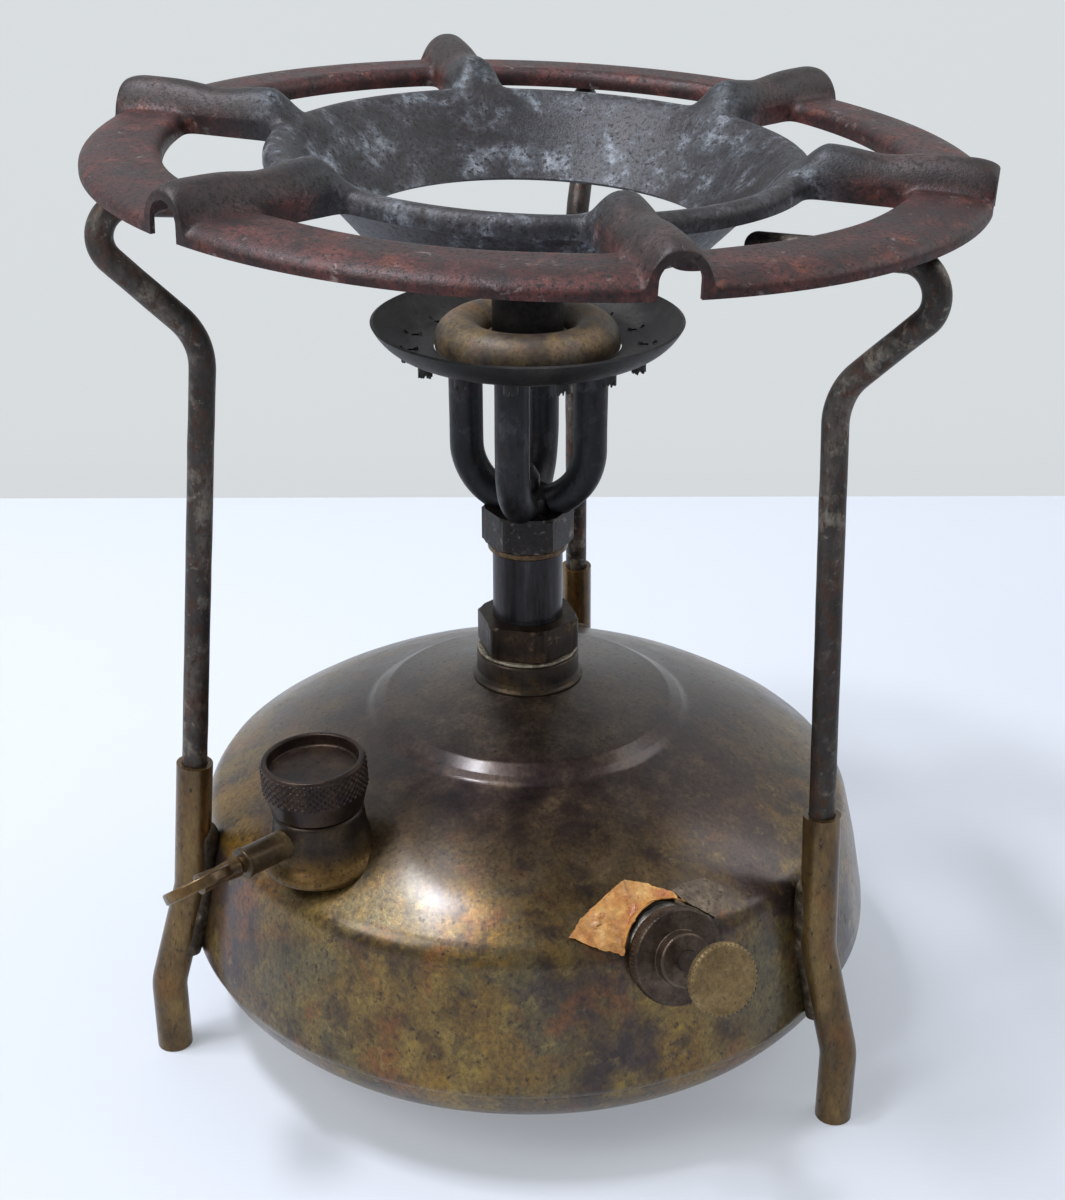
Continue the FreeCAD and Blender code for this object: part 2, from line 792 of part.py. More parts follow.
# ---------------------------------------------------------------- pump
def make_pump():
    end = -d.barrel_deep
    valve_hole = d.valve_r + d.solder_gap
    barrel = [
        (valve_hole, end),
        (d.barrel_r, end),
        (d.barrel_r, -d.barrel_mouth),
        (d.barrel_bore_r, -d.barrel_mouth),
        (d.barrel_bore_r, end + d.barrel_end),
        (valve_hole, end + d.barrel_end),
    ]
    node(on_pump(turned("PumpBarrel", barrel)), "pump_barrel")
    bead_r = d.barrel_r + d.solder_gap
    bead = [
        (bead_r, -14.0),
        (bead_r + 2.3, -14.0),
        (bead_r + 2.3, -d.pcap_skirt - 1.8),
        (bead_r + 1.2, -d.pcap_skirt - 0.8),
        (bead_r, -d.pcap_skirt - 0.8),
    ]
    # the bead lies on the shoulder only
    below = rod_of("pump_underside", 25.0, 40.0)
    x = (d.belly_r - d.pump_in) * sine(d.pump_azimuth)
    y = -(d.belly_r - d.pump_in) * cosine(d.pump_azimuth)
    place(below, seat_text(x, y, d.pump_at_z - 42.0, (0.0, 0.0, 1.0), 0.0))
    node(less("PumpSolder", on_pump(turned("pump_bead", bead)), [tank_block, below]), "pump_solder")

    rod_hole = d.prod_r + d.fit_gap
    skirt_bore = d.barrel_r + d.fit_gap
    cap = [
        (rod_hole, -d.pcap_plate),
        (skirt_bore, -d.pcap_plate),
        (skirt_bore, -d.pcap_skirt),
        (d.pcap_r - 0.4, -d.pcap_skirt),
        (d.pcap_r, 0.4 - d.pcap_skirt),
        (d.pcap_r, -0.5),
        (d.pcap_r - 0.5, 0.0),
        (d.pcap_boss_r, 0.0),
        (d.pcap_boss_r, d.pcap_boss - 0.5),
        (d.pcap_boss_r - 0.5, d.pcap_boss),
        (rod_hole, d.pcap_boss),
    ]
    node(on_pump(turned("PumpCap", cap)), "pump_cap")


def make_plunger():
    shoulder = -d.prod_shoulder
    back = shoulder - d.cup_washer
    leather = back - d.cup_wall
    front = leather - d.cup_washer
    nut = front - d.cup_nut
    knob_top = d.knob_at + d.knob_thick
    rod = [
        (0.0, nut - 0.8),
        (d.prod_stub_r, nut - 0.8),
        (d.prod_stub_r, shoulder),
        (d.prod_r, shoulder),
        (d.prod_r, d.knob_at),
        (d.prod_stub_r, d.knob_at),
        (d.prod_stub_r, knob_top),
        (0.0, knob_top),
    ]
    node(on_pump(turned("PumpRod", rod)), "pump_rod")
    bore = d.prod_stub_r + d.solder_gap
    knob = [
        (d.prod_r + d.solder_gap, d.knob_at - d.knob_hub),
        (d.knob_hub_r, d.knob_at - d.knob_hub),
        (d.knob_hub_r, d.knob_at),
        (d.knob_r - 0.3, d.knob_at),
        (d.knob_r, d.knob_at + 0.3),
        (d.knob_r, knob_top - 0.3),
        (d.knob_r - 0.3, knob_top),
        (bore, knob_top),
        (bore, d.knob_at + d.solder_gap),
        (d.prod_r + d.solder_gap, d.knob_at + d.solder_gap),
    ]
    node(on_pump(turned("PumpKnob", knob)), "pump_knob")
    for name, label, low, high in (
        ("CupWasherBack", "cup_washer_back", back, shoulder),
        ("CupWasherFront", "cup_washer_front", front, leather),
    ):
        ring = [(bore, low), (d.cup_washer_r, low), (d.cup_washer_r, high), (bore, high)]
        node(on_pump(turned(name, ring)), label)
    lip = d.barrel_bore_r - d.fit_gap
    cup = [
        (bore, leather),
        (lip - d.cup_wall, leather),
        (lip - d.cup_wall + 0.3, back - d.cup_deep),
        (lip, back - d.cup_deep),
        (lip, back - 1.0),
        (lip - 1.0, back, "left", 1.0),
        (bore, back),
    ]
    node(on_pump(turned("CupLeather", cup)), "cup_leather")
    blank = on_pump(hexagon("cup_nut_blank", d.cup_nut_flats, d.cup_nut), nut)
    hole = on_pump(rod_of("cup_nut_bore", bore, 10.0), nut - 1.0)
    node(less("CupNut", blank, [hole]), "cup_nut")


# ---------------------------------------------------------------- non-return valve
def make_valve():
    """Local +Z of the pump's axis; the valve stands through the end wall of the barrel."""
    wall = d.barrel_end - d.barrel_deep
    seat = -d.valve_seat
    low = -d.valve_end
    body = [
        (d.valve_inlet_r, seat),
        (d.valve_bore_r, seat),
        (d.valve_bore_r, low + d.valve_wall),
        (d.valve_inlet_r, low + d.valve_wall),
        (d.valve_inlet_r, low),
        (d.valve_r, low),
        (d.valve_r, wall),
        (d.valve_flange_r, wall),
        (d.valve_flange_r, wall + d.valve_flange),
        (d.valve_inlet_r, wall + d.valve_flange),
    ]
    node(on_pump(turned("ValveBody", body)), "valve_body")
    pip_r = d.valve_bore_r - d.fit_gap
    pip_low = seat - d.solder_gap - d.pip_long
    pip = [(0.0, pip_low), (pip_r, pip_low), (pip_r, seat - d.solder_gap), (0.0, seat - d.solder_gap)]
    node(on_pump(turned("ValvePip", pip)), "valve_pip")

    coil_low = low + d.valve_wall + d.solder_gap + d.spring_wire / 2
    coil_high = pip_low - d.pip_travel - d.solder_gap - d.spring_wire / 2
    coil = doc.addObject("Part::Helix", "valve_coil")
    bind(coil, "Radius", d.spring_r)
    bind(coil, "Height", coil_high - coil_low)
    bind(coil, "Pitch", (coil_high - coil_low) / d.spring_turns)
    on_pump(coil, coil_low)
    wire = doc.addObject("Part::Circle", "valve_wire")
    bind(wire, "Radius", d.spring_wire / 2)
    start = seat_text(d.spring_r, 0.0, coil_low, (1.0, 0.0, 0.0), 90.0)
    wire.setExpression("Placement", f"{pump_seat()} * {start}")
    spring = doc.addObject("Part::Sweep", "ValveSpring")
    spring.Sections = [wire]
    spring.Spine = (coil, ["Edge1"])
    spring.Solid = True
    spring.Frenet = True
    node(spring, "valve_spring")


# ---------------------------------------------------------------- burner
def chamfered_hexagon(name, flats, tall, z, turn):
    """A hexagon bar whose corners are turned off at both ends."""
    corner_r = flats / math.sqrt(3)
    blank = hexagon(name + "_blank", flats, tall)
    place(blank, seat_text(0.0, 0.0, z, (0.0, 0.0, 1.0), turn))
    bevel = (corner_r - flats / 2) * 0.6
    barrel = [
        (0.0, z),
        (corner_r - bevel, z),
        (corner_r, z + bevel * 0.7),
        (corner_r, z + tall - bevel * 0.7),
        (corner_r - bevel, z + tall),
        (0.0, z + tall),
    ]
    return shared(name + "_hexagon", [blank, turned(name + "_bevel", barrel)])


def make_burner_foot():
    seat = d.crown_z + d.bush_tall
    washer = [
        (d.thread_r + d.solder_gap, seat + d.solder_gap),
        (d.bush_r - 0.2, seat + d.solder_gap),
        (d.bush_r - 0.2, seat + d.bwasher - d.solder_gap),
        (d.thread_r + d.solder_gap, seat + d.bwasher - d.solder_gap),
    ]
    node(turned("BurnerWasher", washer), "burner_washer")

    low = seat + d.bwasher
    top = low + d.nut_tall
    hexagon_bar = chamfered_hexagon("burner_nut", d.nut_flats, d.nut_tall, low, d.nut_turn)
    screw_r = d.thread_r - d.fit_gap
    socket_r = d.riser_bore_r - d.solder_gap
    core = [
        (d.nut_bore_r, low - d.nut_screw),
        (screw_r, low - d.nut_screw),
        (screw_r, low),
        (socket_r, low),
        (socket_r, top + d.riser_lap),
        (d.nut_bore_r, top + d.riser_lap),
    ]
    bore = rod_of("burner_nut_bore", d.nut_bore_r, 40.0, low - d.nut_screw - 5.0)
    full = fused("burner_nut_full", [hexagon_bar, turned("burner_nut_core", core)])
    node(less("BurnerNut", full, [bore]), "burner_nut")

    riser = [(d.riser_bore_r, top), (d.riser_r, top), (d.riser_r, d.riser_top), (d.riser_bore_r, d.riser_top)]
    node(turned("BurnerRiser", riser), "burner_riser")
    collar_top = d.riser_top + d.collar_tall
    collar = [
        (d.riser_bore_r, d.riser_top),
        (d.collar_r - 0.3, d.riser_top),
        (d.collar_r, d.riser_top + 0.3),
        (d.collar_r, collar_top - 0.3),
        (d.collar_r - 0.3, collar_top),
        (d.riser_bore_r, collar_top),
    ]
    node(turned("HubCollar", collar), "hub_collar")


def vapour_line(azimuth):
    """One vapour tube's line: from inside the hub, round the bend and straight up into the burner head."""
    out = Vector(math.sin(azimuth), -math.cos(azimuth), 0)
    slope = math.radians(n.vtube_slope)
    knee = out * n.vtube_out + UP * n.vtube_knee_z
    centre = knee - (out * math.sin(slope) + UP * math.cos(slope)) * (n.vtube_out / math.sin(slope))
    return [centre, knee, out * n.vtube_out + UP * n.head_z]


def make_burner_cage():
    low = d.riser_top + d.collar_tall
    top = low + d.hub_tall
    boss_top = top + d.hub_boss
    hexagon_bar = chamfered_hexagon("burner_hub", d.hub_flats, d.hub_tall, low, d.hub_turn)
    socket_r = d.riser_bore_r - d.solder_gap
    foot = low - d.riser_lap
    spigot = [(0.0, foot), (socket_r, foot), (socket_r, low + 1.0), (0.0, low + 1.0)]
    boss = [
        (0.0, top - 1.0),
        (d.hub_boss_r, top - 1.0),
        (d.hub_boss_r, boss_top - 1.0),
        (d.hub_boss_r - 1.0, boss_top),
        (0.0, boss_top),
    ]
    hub_full = fused("hub_full", [hexagon_bar, turned("hub_spigot", spigot), turned("hub_boss", boss)])
    ring = doc.addObject("Part::Torus", "head_outside")
    bind(ring, "Radius1", d.head_r)
    bind(ring, "Radius2", d.head_tube_r)
    place(ring, seat_text(0.0, 0.0, d.head_z, (0.0, 0.0, 1.0), 0.0))
    hollow = doc.addObject("Part::Torus", "head_inside")
    bind(hollow, "Radius1", d.head_r)
    bind(hollow, "Radius2", d.head_tube_r - d.head_gauge)
    place(hollow, seat_text(0.0, 0.0, d.head_z, (0.0, 0.0, 1.0), 0.0))
    core = rod_of("cage_core", d.hub_boss_r, 20.0, top)
    bores = []
    for i in range(4):
        azimuth = math.radians(n.vtube_azimuth + 90 * i)
        path = bent_line(f"vapour_{i + 1}_line", vapour_line(azimuth), [n.vtube_bend])
        outer = swept(f"vapour_{i + 1}_outer", path, d.vtube_r)
        bore = swept(f"vapour_{i + 1}_bore", path, d.vtube_bore_r)
        bores.append(bore)
        node(less(f"VapourTube{i + 1}", outer, [bore, hub_full, core, ring]), f"vapour_tube_{i + 1}")
    well = rod_of("hub_well", d.hub_well_r, d.riser_lap + d.hub_tall, foot)
    node(less("BurnerHub", hub_full, [well] + bores), "burner_hub")
    node(less("BurnerHead", ring, [hollow] + bores), "burner_head")

    jet = [
        (d.jet_hole_r, boss_top),
        (d.jet_r, boss_top),
        (d.jet_r, boss_top + d.jet_tall * 0.55),
        (d.jet_r * 0.5, boss_top + d.jet_tall),
        (d.jet_hole_r, boss_top + d.jet_tall),
    ]
    node(turned("Jet", jet), "jet")


def make_burner_head():
    throat_r = d.head_r - d.head_tube_r - d.solder_gap
    throat = [
        (d.throat_bore_r, d.throat_z),
        (throat_r, d.throat_z),
        (throat_r, d.throat_z + d.throat_tall - 0.4),
        (throat_r - 0.4, d.throat_z + d.throat_tall),
        (d.throat_bore_r, d.throat_z + d.throat_tall),
    ]
    node(turned("BurnerThroat", throat), "burner_throat")

    floor = d.dish_floor_z + d.dish_gauge
    dish = [
        (d.head_r + d.head_tube_r + d.solder_gap, floor),
        (d.dish_floor_r, floor),
        (d.dish_r, d.dish_rim_z, "left", d.dish_bend),
    ]
    sheet_dish = turned_sheet("dish_sheet", dish, d.dish_gauge)
    holes = []
    for i in range(int(n.dish_holes)):
        hole = rod_of(f"dish_hole_{i}", d.dish_hole_r, 12.0)
        azimuth = d.dish_azimuth + 360.0 / int(n.dish_holes) * i
        x = d.dish_hole_at * sine(azimuth)
        y = -d.dish_hole_at * cosine(azimuth)
        holes.append(place(hole, seat_text(x, y, d.dish_floor_z - 5.0, (0.0, 0.0, 1.0), 0.0)))
    node(less("BurnerDish", sheet_dish, holes), "burner_dish")


# ---------------------------------------------------------------- flame caps
def make_caps():
    rest = d.throat_z + d.throat_tall + d.rest_gap
    tube_r = d.throat_bore_r - d.fit_gap
    top = d.inner_cap_top
    inner = [
        (tube_r - d.inner_cap_wall, rest - d.inner_cap_lap),
        (tube_r, rest - d.inner_cap_lap),
        (tube_r, rest),
        (d.inner_cap_disc_r, rest),
        (d.inner_cap_disc_r, rest + d.inner_cap_wall),
        (tube_r, rest + d.inner_cap_wall),
        (tube_r, top - d.inner_cap_wall),
        (d.inner_cap_disc_r, top - d.inner_cap_wall),
        (d.inner_cap_disc_r, top),
        (0.0, top),
        (0.0, top - d.inner_cap_wall),
        (tube_r - d.inner_cap_wall, top - d.inner_cap_wall),
    ]
    tube = turned("inner_cap_tube", inner)
    windows = [slot(f"inner_window_{i}", 3.0, 40.0, 8.0, top - 11.0, 60.0 * i) for i in range(3)]
    node(less("InnerCap", tube, windows), "inner_cap")

    wall = d.outer_cap_wall
    sleeve_in = d.outer_sleeve_r - wall
    drum_top = d.drum_z + d.drum_tall
    outer = [
        (sleeve_in, rest),
        (d.outer_sleeve_r, rest),
        (d.outer_sleeve_r, d.drum_z),
        (d.drum_r - 0.6, d.drum_z),
        (d.drum_r, d.drum_z + 0.6),
        (d.drum_r, drum_top - 1.2),
        (d.drum_r - 1.2, drum_top),
        (0.0, drum_top),
        (0.0, drum_top - wall),
        (d.drum_r - wall - 0.6, drum_top - wall),
        (d.drum_r - wall, drum_top - wall - 0.6),
        (d.drum_r - wall, d.drum_z + wall),
        (sleeve_in, d.drum_z + wall),
    ]
    drum = turned("outer_cap_drum", outer)
    count = int(n.drum_slots) // 2
    high = d.drum_tall - 4.0
    slots = []
    for i in range(count):
        slots.append(slot(f"drum_slot_{i}", d.drum_slot, 60.0, high, d.drum_z + 2.0, 180.0 / count * i))
    node(less("OuterCap", drum, slots), "outer_cap")


def slot(name, wide, long, tall, z, turn):
    """A bar right across the Z axis, to cut two windows that face each other."""
    bar = doc.addObject("Part::Box", name)
    bind(bar, "Width", wide)
    bind(bar, "Length", long)
    bind(bar, "Height", tall)
    half_long = Size(float(long) / 2, f"({str_of(long)} / 2)")
    half_wide = Size(float(wide) / 2, f"({str_of(wide)} / 2)")
    centred = seat_text(-half_long, -half_wide, z, (0.0, 0.0, 1.0), 0.0)
    bar.setExpression("Placement", f"{seat_text(0.0, 0.0, 0.0, (0.0, 0.0, 1.0), turn)} * {centred}")
    return bar


make_tank()
for side in LEGS:
    make_leg(side)
    make_rod(side)
make_ring()
make_filler()
make_vent_screw()
make_pump()
make_plunger()
make_valve()
make_burner_foot()
make_burner_cage()
make_burner_head()
make_caps()
doc.recompute()

# ---------------------------------------------------------------- check and write
faults = [f"{thing.Name}: {thing.State}" for thing in doc.Objects if {"Invalid", "Error"} & set(thing.State)]
for thing in nodes:
    shape = thing.Shape
    if shape.isNull() or not shape.isValid():
        faults.append(f"{thing.Label}: no valid shape")
    elif len(shape.Solids) != 1:
        faults.append(f"{thing.Label}: {len(shape.Solids)} solids")
if faults:
    raise RuntimeError("; ".join(faults))

os.makedirs("parts", exist_ok=True)
for thing in nodes:
    thing.Shape.exportStep(f"parts/{thing.Label}.step")
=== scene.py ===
# %% [markdown]
# # A brass pressure stove
# This lesson dresses a finished CAD model of a kerosene stove: a round brass tank on tube legs, bent steel rods,
# a pressed pot ring, and a burner with its cage of vapour tubes. The CAD solids fix every size and every joint.
# Blender adds what makes the stove believable: thin curled sheet metal, knurling, solder, tarnish, soot and rust.

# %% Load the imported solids
import math

import bmesh
import bpy
from mathutils import Matrix, Vector, noise


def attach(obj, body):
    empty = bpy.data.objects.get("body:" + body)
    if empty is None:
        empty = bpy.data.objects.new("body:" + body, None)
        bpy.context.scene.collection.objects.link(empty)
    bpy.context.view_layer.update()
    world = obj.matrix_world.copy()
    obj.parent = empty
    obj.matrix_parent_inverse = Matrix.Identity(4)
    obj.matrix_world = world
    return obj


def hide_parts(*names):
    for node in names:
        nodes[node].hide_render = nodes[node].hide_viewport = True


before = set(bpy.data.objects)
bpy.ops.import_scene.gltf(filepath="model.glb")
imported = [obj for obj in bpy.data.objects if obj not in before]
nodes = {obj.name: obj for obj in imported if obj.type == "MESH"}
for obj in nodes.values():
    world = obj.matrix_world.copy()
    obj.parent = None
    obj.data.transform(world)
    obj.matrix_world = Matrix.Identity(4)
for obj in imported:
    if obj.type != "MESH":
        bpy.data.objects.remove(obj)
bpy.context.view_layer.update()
MM = 0.001

# %% [markdown]
# ## A few small tools
# Colours are written as sRGB hex values, the way a paint chart gives them, but the shader works with linear light.
# One function turns one into the other, so no colour is ever typed twice. The second tool adds a node, sets it up
# and links it, which keeps each material short enough to read in one go. The last two start a material that has no
# nodes yet, and put a new object into the scene.


# %% Colour, node and object tools
def linear(code):
    """A colour such as "#8a7340" as linear red, green, blue and alpha."""
    channels = [int(code[i : i + 2], 16) / 255 for i in (1, 3, 5)]
    return [c / 12.92 if c <= 0.04045 else ((c + 0.055) / 1.055) ** 2.4 for c in channels] + [1.0]


def add(tree, kind, settings=None, **links):
    """Add a node: settings go to its properties or sockets, links join named sockets to other nodes' outputs."""
    item = tree.nodes.new(kind)
    for name, value in (settings or {}).items():
        if isinstance(name, str) and hasattr(item, name):
            setattr(item, name, value)
        else:
            item.inputs[name].default_value = value
    for name, source in links.items():
        socket = item.inputs[int(name[1:])] if name[0] == "_" else item.inputs[name.replace("_", " ")]
        tree.links.new(source, socket)
    return item


def ramp(tree, value, stops):
    """A colour ramp through (place, hex colour) stops."""
    item = add(tree, "ShaderNodeValToRGB", _0=value)
    elements = item.color_ramp.elements
    while len(elements) < len(stops):
        elements.new(0.5)
    for element, (place, code) in zip(elements, stops):
        element.position = place
        element.color = linear(code)
    return item.outputs["Color"]


def empty_material(name):
    """A new material and its tree, which has no nodes yet."""
    material = bpy.data.materials.new(name)
    material.use_nodes = True
    material.node_tree.nodes.clear()
    return material, material.node_tree


def placed(name, data):
    """A new object with this data, linked to the scene."""
    thing = bpy.data.objects.new(name, data)
    bpy.context.scene.collection.objects.link(thing)
    return thing


print("pure white is", linear("#ffffff"))

# %% [markdown]
# ## Where the viewer stands
# The stove is seen from a little above the pot ring, from in front. A lens of 57 mm on a 36 mm frame keeps the
# perspective of a small object seen at arm's length. The camera looks 25 degrees down.

# %% Camera
# The lens and the frame's height in mm, the eye in mm, and the angles in degrees.
LENS, SENSOR = 57.0, 36.0
EYE = (-2.8, -433.9, 317.7)
LOOKING_DOWN, ROLL, TURN = 25.43, -0.06, -0.5
camera_data = bpy.data.cameras.new("viewer")
camera_data.lens = LENS
camera_data.sensor_fit = "VERTICAL"
camera_data.sensor_width = camera_data.sensor_height = SENSOR
camera_data.clip_start = 0.01
camera = placed("viewer", camera_data)
camera.location = Vector(EYE) * MM
camera.rotation_euler = [math.radians(angle) for angle in (90 - LOOKING_DOWN, ROLL, TURN)]
bpy.context.scene.camera = camera
bpy.context.scene.view_settings.view_transform = "Standard"
print("camera at", tuple(round(v, 3) for v in camera.location))

# %% [markdown]
# ## A pale table and soft light
# Tarnished brass is mostly a mirror with a brown veil, so what surrounds it matters as much as the lamps.
# The floor and the world are pale. A window in front on the left, a wide lamp behind on the right and a narrow
# ceiling lamp give the long white highlights on the tank.

# %% Table and wall
# In metres: half the room's width, how far the table comes towards the viewer, and where it ends at the wall.
HALF_ROOM, NEAR, EDGE = 2.0, 2.5, 0.34
# The table is a hair below the feet. The wall starts below its edge and leans back a little.
UNDER_FEET = 0.0002
WALL_FOOT, WALL_TOP, WALL_LEAN = -0.3, 2.5, 0.2


def flat(name, near, far):
    """A backdrop of one face between two lines across the room, each given as (y, z)."""
    mesh = bpy.data.meshes.new(name)
    corners = [(-HALF_ROOM, *near), (HALF_ROOM, *near), (HALF_ROOM, *far), (-HALF_ROOM, *far)]
    mesh.from_pydata(corners, [], [(0, 1, 2, 3)])
    thing = placed(name, mesh)
    return thing


table_top = flat("table_top", (-NEAR, -UNDER_FEET), (EDGE, -UNDER_FEET))
wall = flat("wall", (EDGE, WALL_FOOT), (EDGE + WALL_LEAN, WALL_TOP))
print("the table ends", EDGE, "m behind the stove")

# %% Table and wall finish
# A white painted board and a pale grey wall. Camera and mirror rays see a plain pale colour, so the room looks bright.
# Both are see-through from their back, so that a camera behind the wall still sees the stove.


def pale_surface(name, seen, lit, share):
    """Matt paint of the colour lit, with the colour seen mixed in by a share where a camera or mirror ray meets it."""
    material, tree = empty_material(name)
    matt = add(tree, "ShaderNodeBsdfDiffuse", {"Color": linear(lit)})
    glow = add(tree, "ShaderNodeEmission", {"Color": linear(seen)})
    ray = add(tree, "ShaderNodeLightPath").outputs
    view = add(tree, "ShaderNodeMath", {"operation": "MAXIMUM"}, _0=ray["Is Camera Ray"], _1=ray["Is Glossy Ray"])
    mixed = add(tree, "ShaderNodeMath", {"operation": "MULTIPLY", 1: share}, _0=view.outputs[0])
    both = add(tree, "ShaderNodeMixShader", _0=mixed.outputs[0], _1=matt.outputs[0], _2=glow.outputs[0])
    back = add(tree, "ShaderNodeNewGeometry").outputs["Backfacing"]
    nothing = add(tree, "ShaderNodeBsdfTransparent")
    front_only = add(tree, "ShaderNodeMixShader", _0=back, _1=both.outputs[0], _2=nothing.outputs[0])
    add(tree, "ShaderNodeOutputMaterial", Surface=front_only.outputs[0])
    return material


table_top.data.materials.append(pale_surface("table_paint", "#dbe0e8", "#d0d4db", 0.38))
wall.data.materials.append(pale_surface("wall_paint", "#d9dddf", "#c6cacd", 0.9))
print("paints:", table_top.active_material.name, wall.active_material.name)

# %% World and lamps
world = bpy.data.worlds.new("studio")
world.use_nodes = True
bpy.context.scene.world = world
sky = world.node_tree
sky.nodes.clear()
air = add(sky, "ShaderNodeBackground", {"Color": linear("#dfe6ee"), "Strength": 0.5})
haze = add(sky, "ShaderNodeBackground", {"Color": linear("#d3d8db"), "Strength": 1.0})
looked_at = add(sky, "ShaderNodeLightPath").outputs["Is Camera Ray"]
seen_air = add(sky, "ShaderNodeMixShader", _0=looked_at, _1=air.outputs[0], _2=haze.outputs[0])
add(sky, "ShaderNodeOutputWorld", Surface=seen_air.outputs[0])


def soft_lamp(name, place, target, size, power, colour="#ffffff"):
    """A rectangular lamp that looks at a target. Places and sizes are in metres, power is in watts."""
    data = bpy.data.lights.new(name, "AREA")
    data.shape = "RECTANGLE"
    data.size, data.size_y = size
    data.energy = power
    data.color = linear(colour)[:3]
    lamp = placed(name, data)
    lamp.location = place
    lamp.rotation_euler = (Vector(target) - Vector(place)).to_track_quat("-Z", "Y").to_euler()


soft_lamp("window", (-0.85, -0.6, 1.0), (0, 0, 0.1), (0.6, 0.6), 8.0)
soft_lamp("far_window", (0.9, 0.1, 0.9), (0, 0, 0.12), (0.7, 0.7), 4.0)
soft_lamp("ceiling", (-0.47, -0.09, 1.4), (0, 0, 0.08), (0.4, 0.17), 19.0, "#f1f5ff")

# %% [markdown]
# ## One recipe for old metal
# Every metal here has aged in the same ways: its colour drifted in large soft patches, clouds of other colours bloomed
# on it, small flecks of dirt or rust sit on top, and the surface has fine pits. So one function builds the recipe and
# each finish gives it its own colours and its own sizes in millimetres. The noise reads object coordinates, which are
# real metres here, so a size in millimetres becomes a scale by dividing 1000 by it.


# %% The recipe
# A zone hides at most this share of the colour below it, and a stain is this many patches wide. The grain of an old
# oxide is a tenth of a millimetre, too fine to show, so it is drawn about ten times as coarse.
ZONE_COVER = 0.86
STAIN = 2.5
GRAIN = 1.1111


def blended(tree, share, colour, over):
    """One colour over another, by a share from 0 to 1. The upper one is a hex value or a node's output."""
    if isinstance(over, str):
        return add(tree, "ShaderNodeMix", {"data_type": "RGBA", 7: linear(over)}, _0=share, _6=colour).outputs[2]
    return add(tree, "ShaderNodeMix", {"data_type": "RGBA"}, _0=share, _6=colour, _7=over).outputs[2]


def zone_share(tree, where, drift, zone):
    """0 outside a zone and nearly 1 inside. A zone is measured along a direction, or out from an upright line, and
    it goes from one number of mm to another. The last number lets the noise move its edge to and fro."""
    kind, vector, start, end, wander = zone
    if kind == "along":
        place = add(tree, "ShaderNodeVectorMath", {"operation": "DOT_PRODUCT", 1: vector}, _0=where).outputs["Value"]
    else:
        moved = add(tree, "ShaderNodeVectorMath", {"operation": "SUBTRACT", 1: Vector(vector) * MM}, _0=where)
        level = add(tree, "ShaderNodeVectorMath", {"operation": "MULTIPLY", 1: (1, 1, 0)}, _0=moved.outputs[0])
        place = add(tree, "ShaderNodeVectorMath", {"operation": "LENGTH"}, _0=level.outputs[0]).outputs["Value"]
    wobble = add(tree, "ShaderNodeMath", {"operation": "MULTIPLY_ADD", 1: 4 * wander * MM}, _0=drift, _2=place)
    edges = {"From Min": (start + 2 * wander) * MM, "From Max": (end + 2 * wander) * MM, "To Max": ZONE_COVER,
             "interpolation_type": "SMOOTHSTEP"}
    return add(tree, "ShaderNodeMapRange", edges, Value=wobble.outputs[0]).outputs[0]


def bloomed(tree, where, colour, blooms):
    """Clouds of other colours over a colour, each with its size in mm, the noise level it starts at, and a strength."""
    for index, (size, start, strength, tint) in enumerate(blooms):
        aside = {"Location": (0.31 * index + 0.17, 0.23 * index, 0.11)}
        moved = add(tree, "ShaderNodeMapping", aside, Vector=where).outputs[0]
        ragged = {"Scale": 1000 / size, "Detail": 9.0, "Roughness": 0.64, "Distortion": 0.35}
        cloud = add(tree, "ShaderNodeTexNoise", ragged, Vector=moved).outputs["Fac"]
        share = {"From Min": start, "From Max": start + 0.1, "To Max": strength}
        soft = add(tree, "ShaderNodeMapRange", share, Value=cloud).outputs[0]
        colour = blended(tree, soft, colour, tint)
    return colour


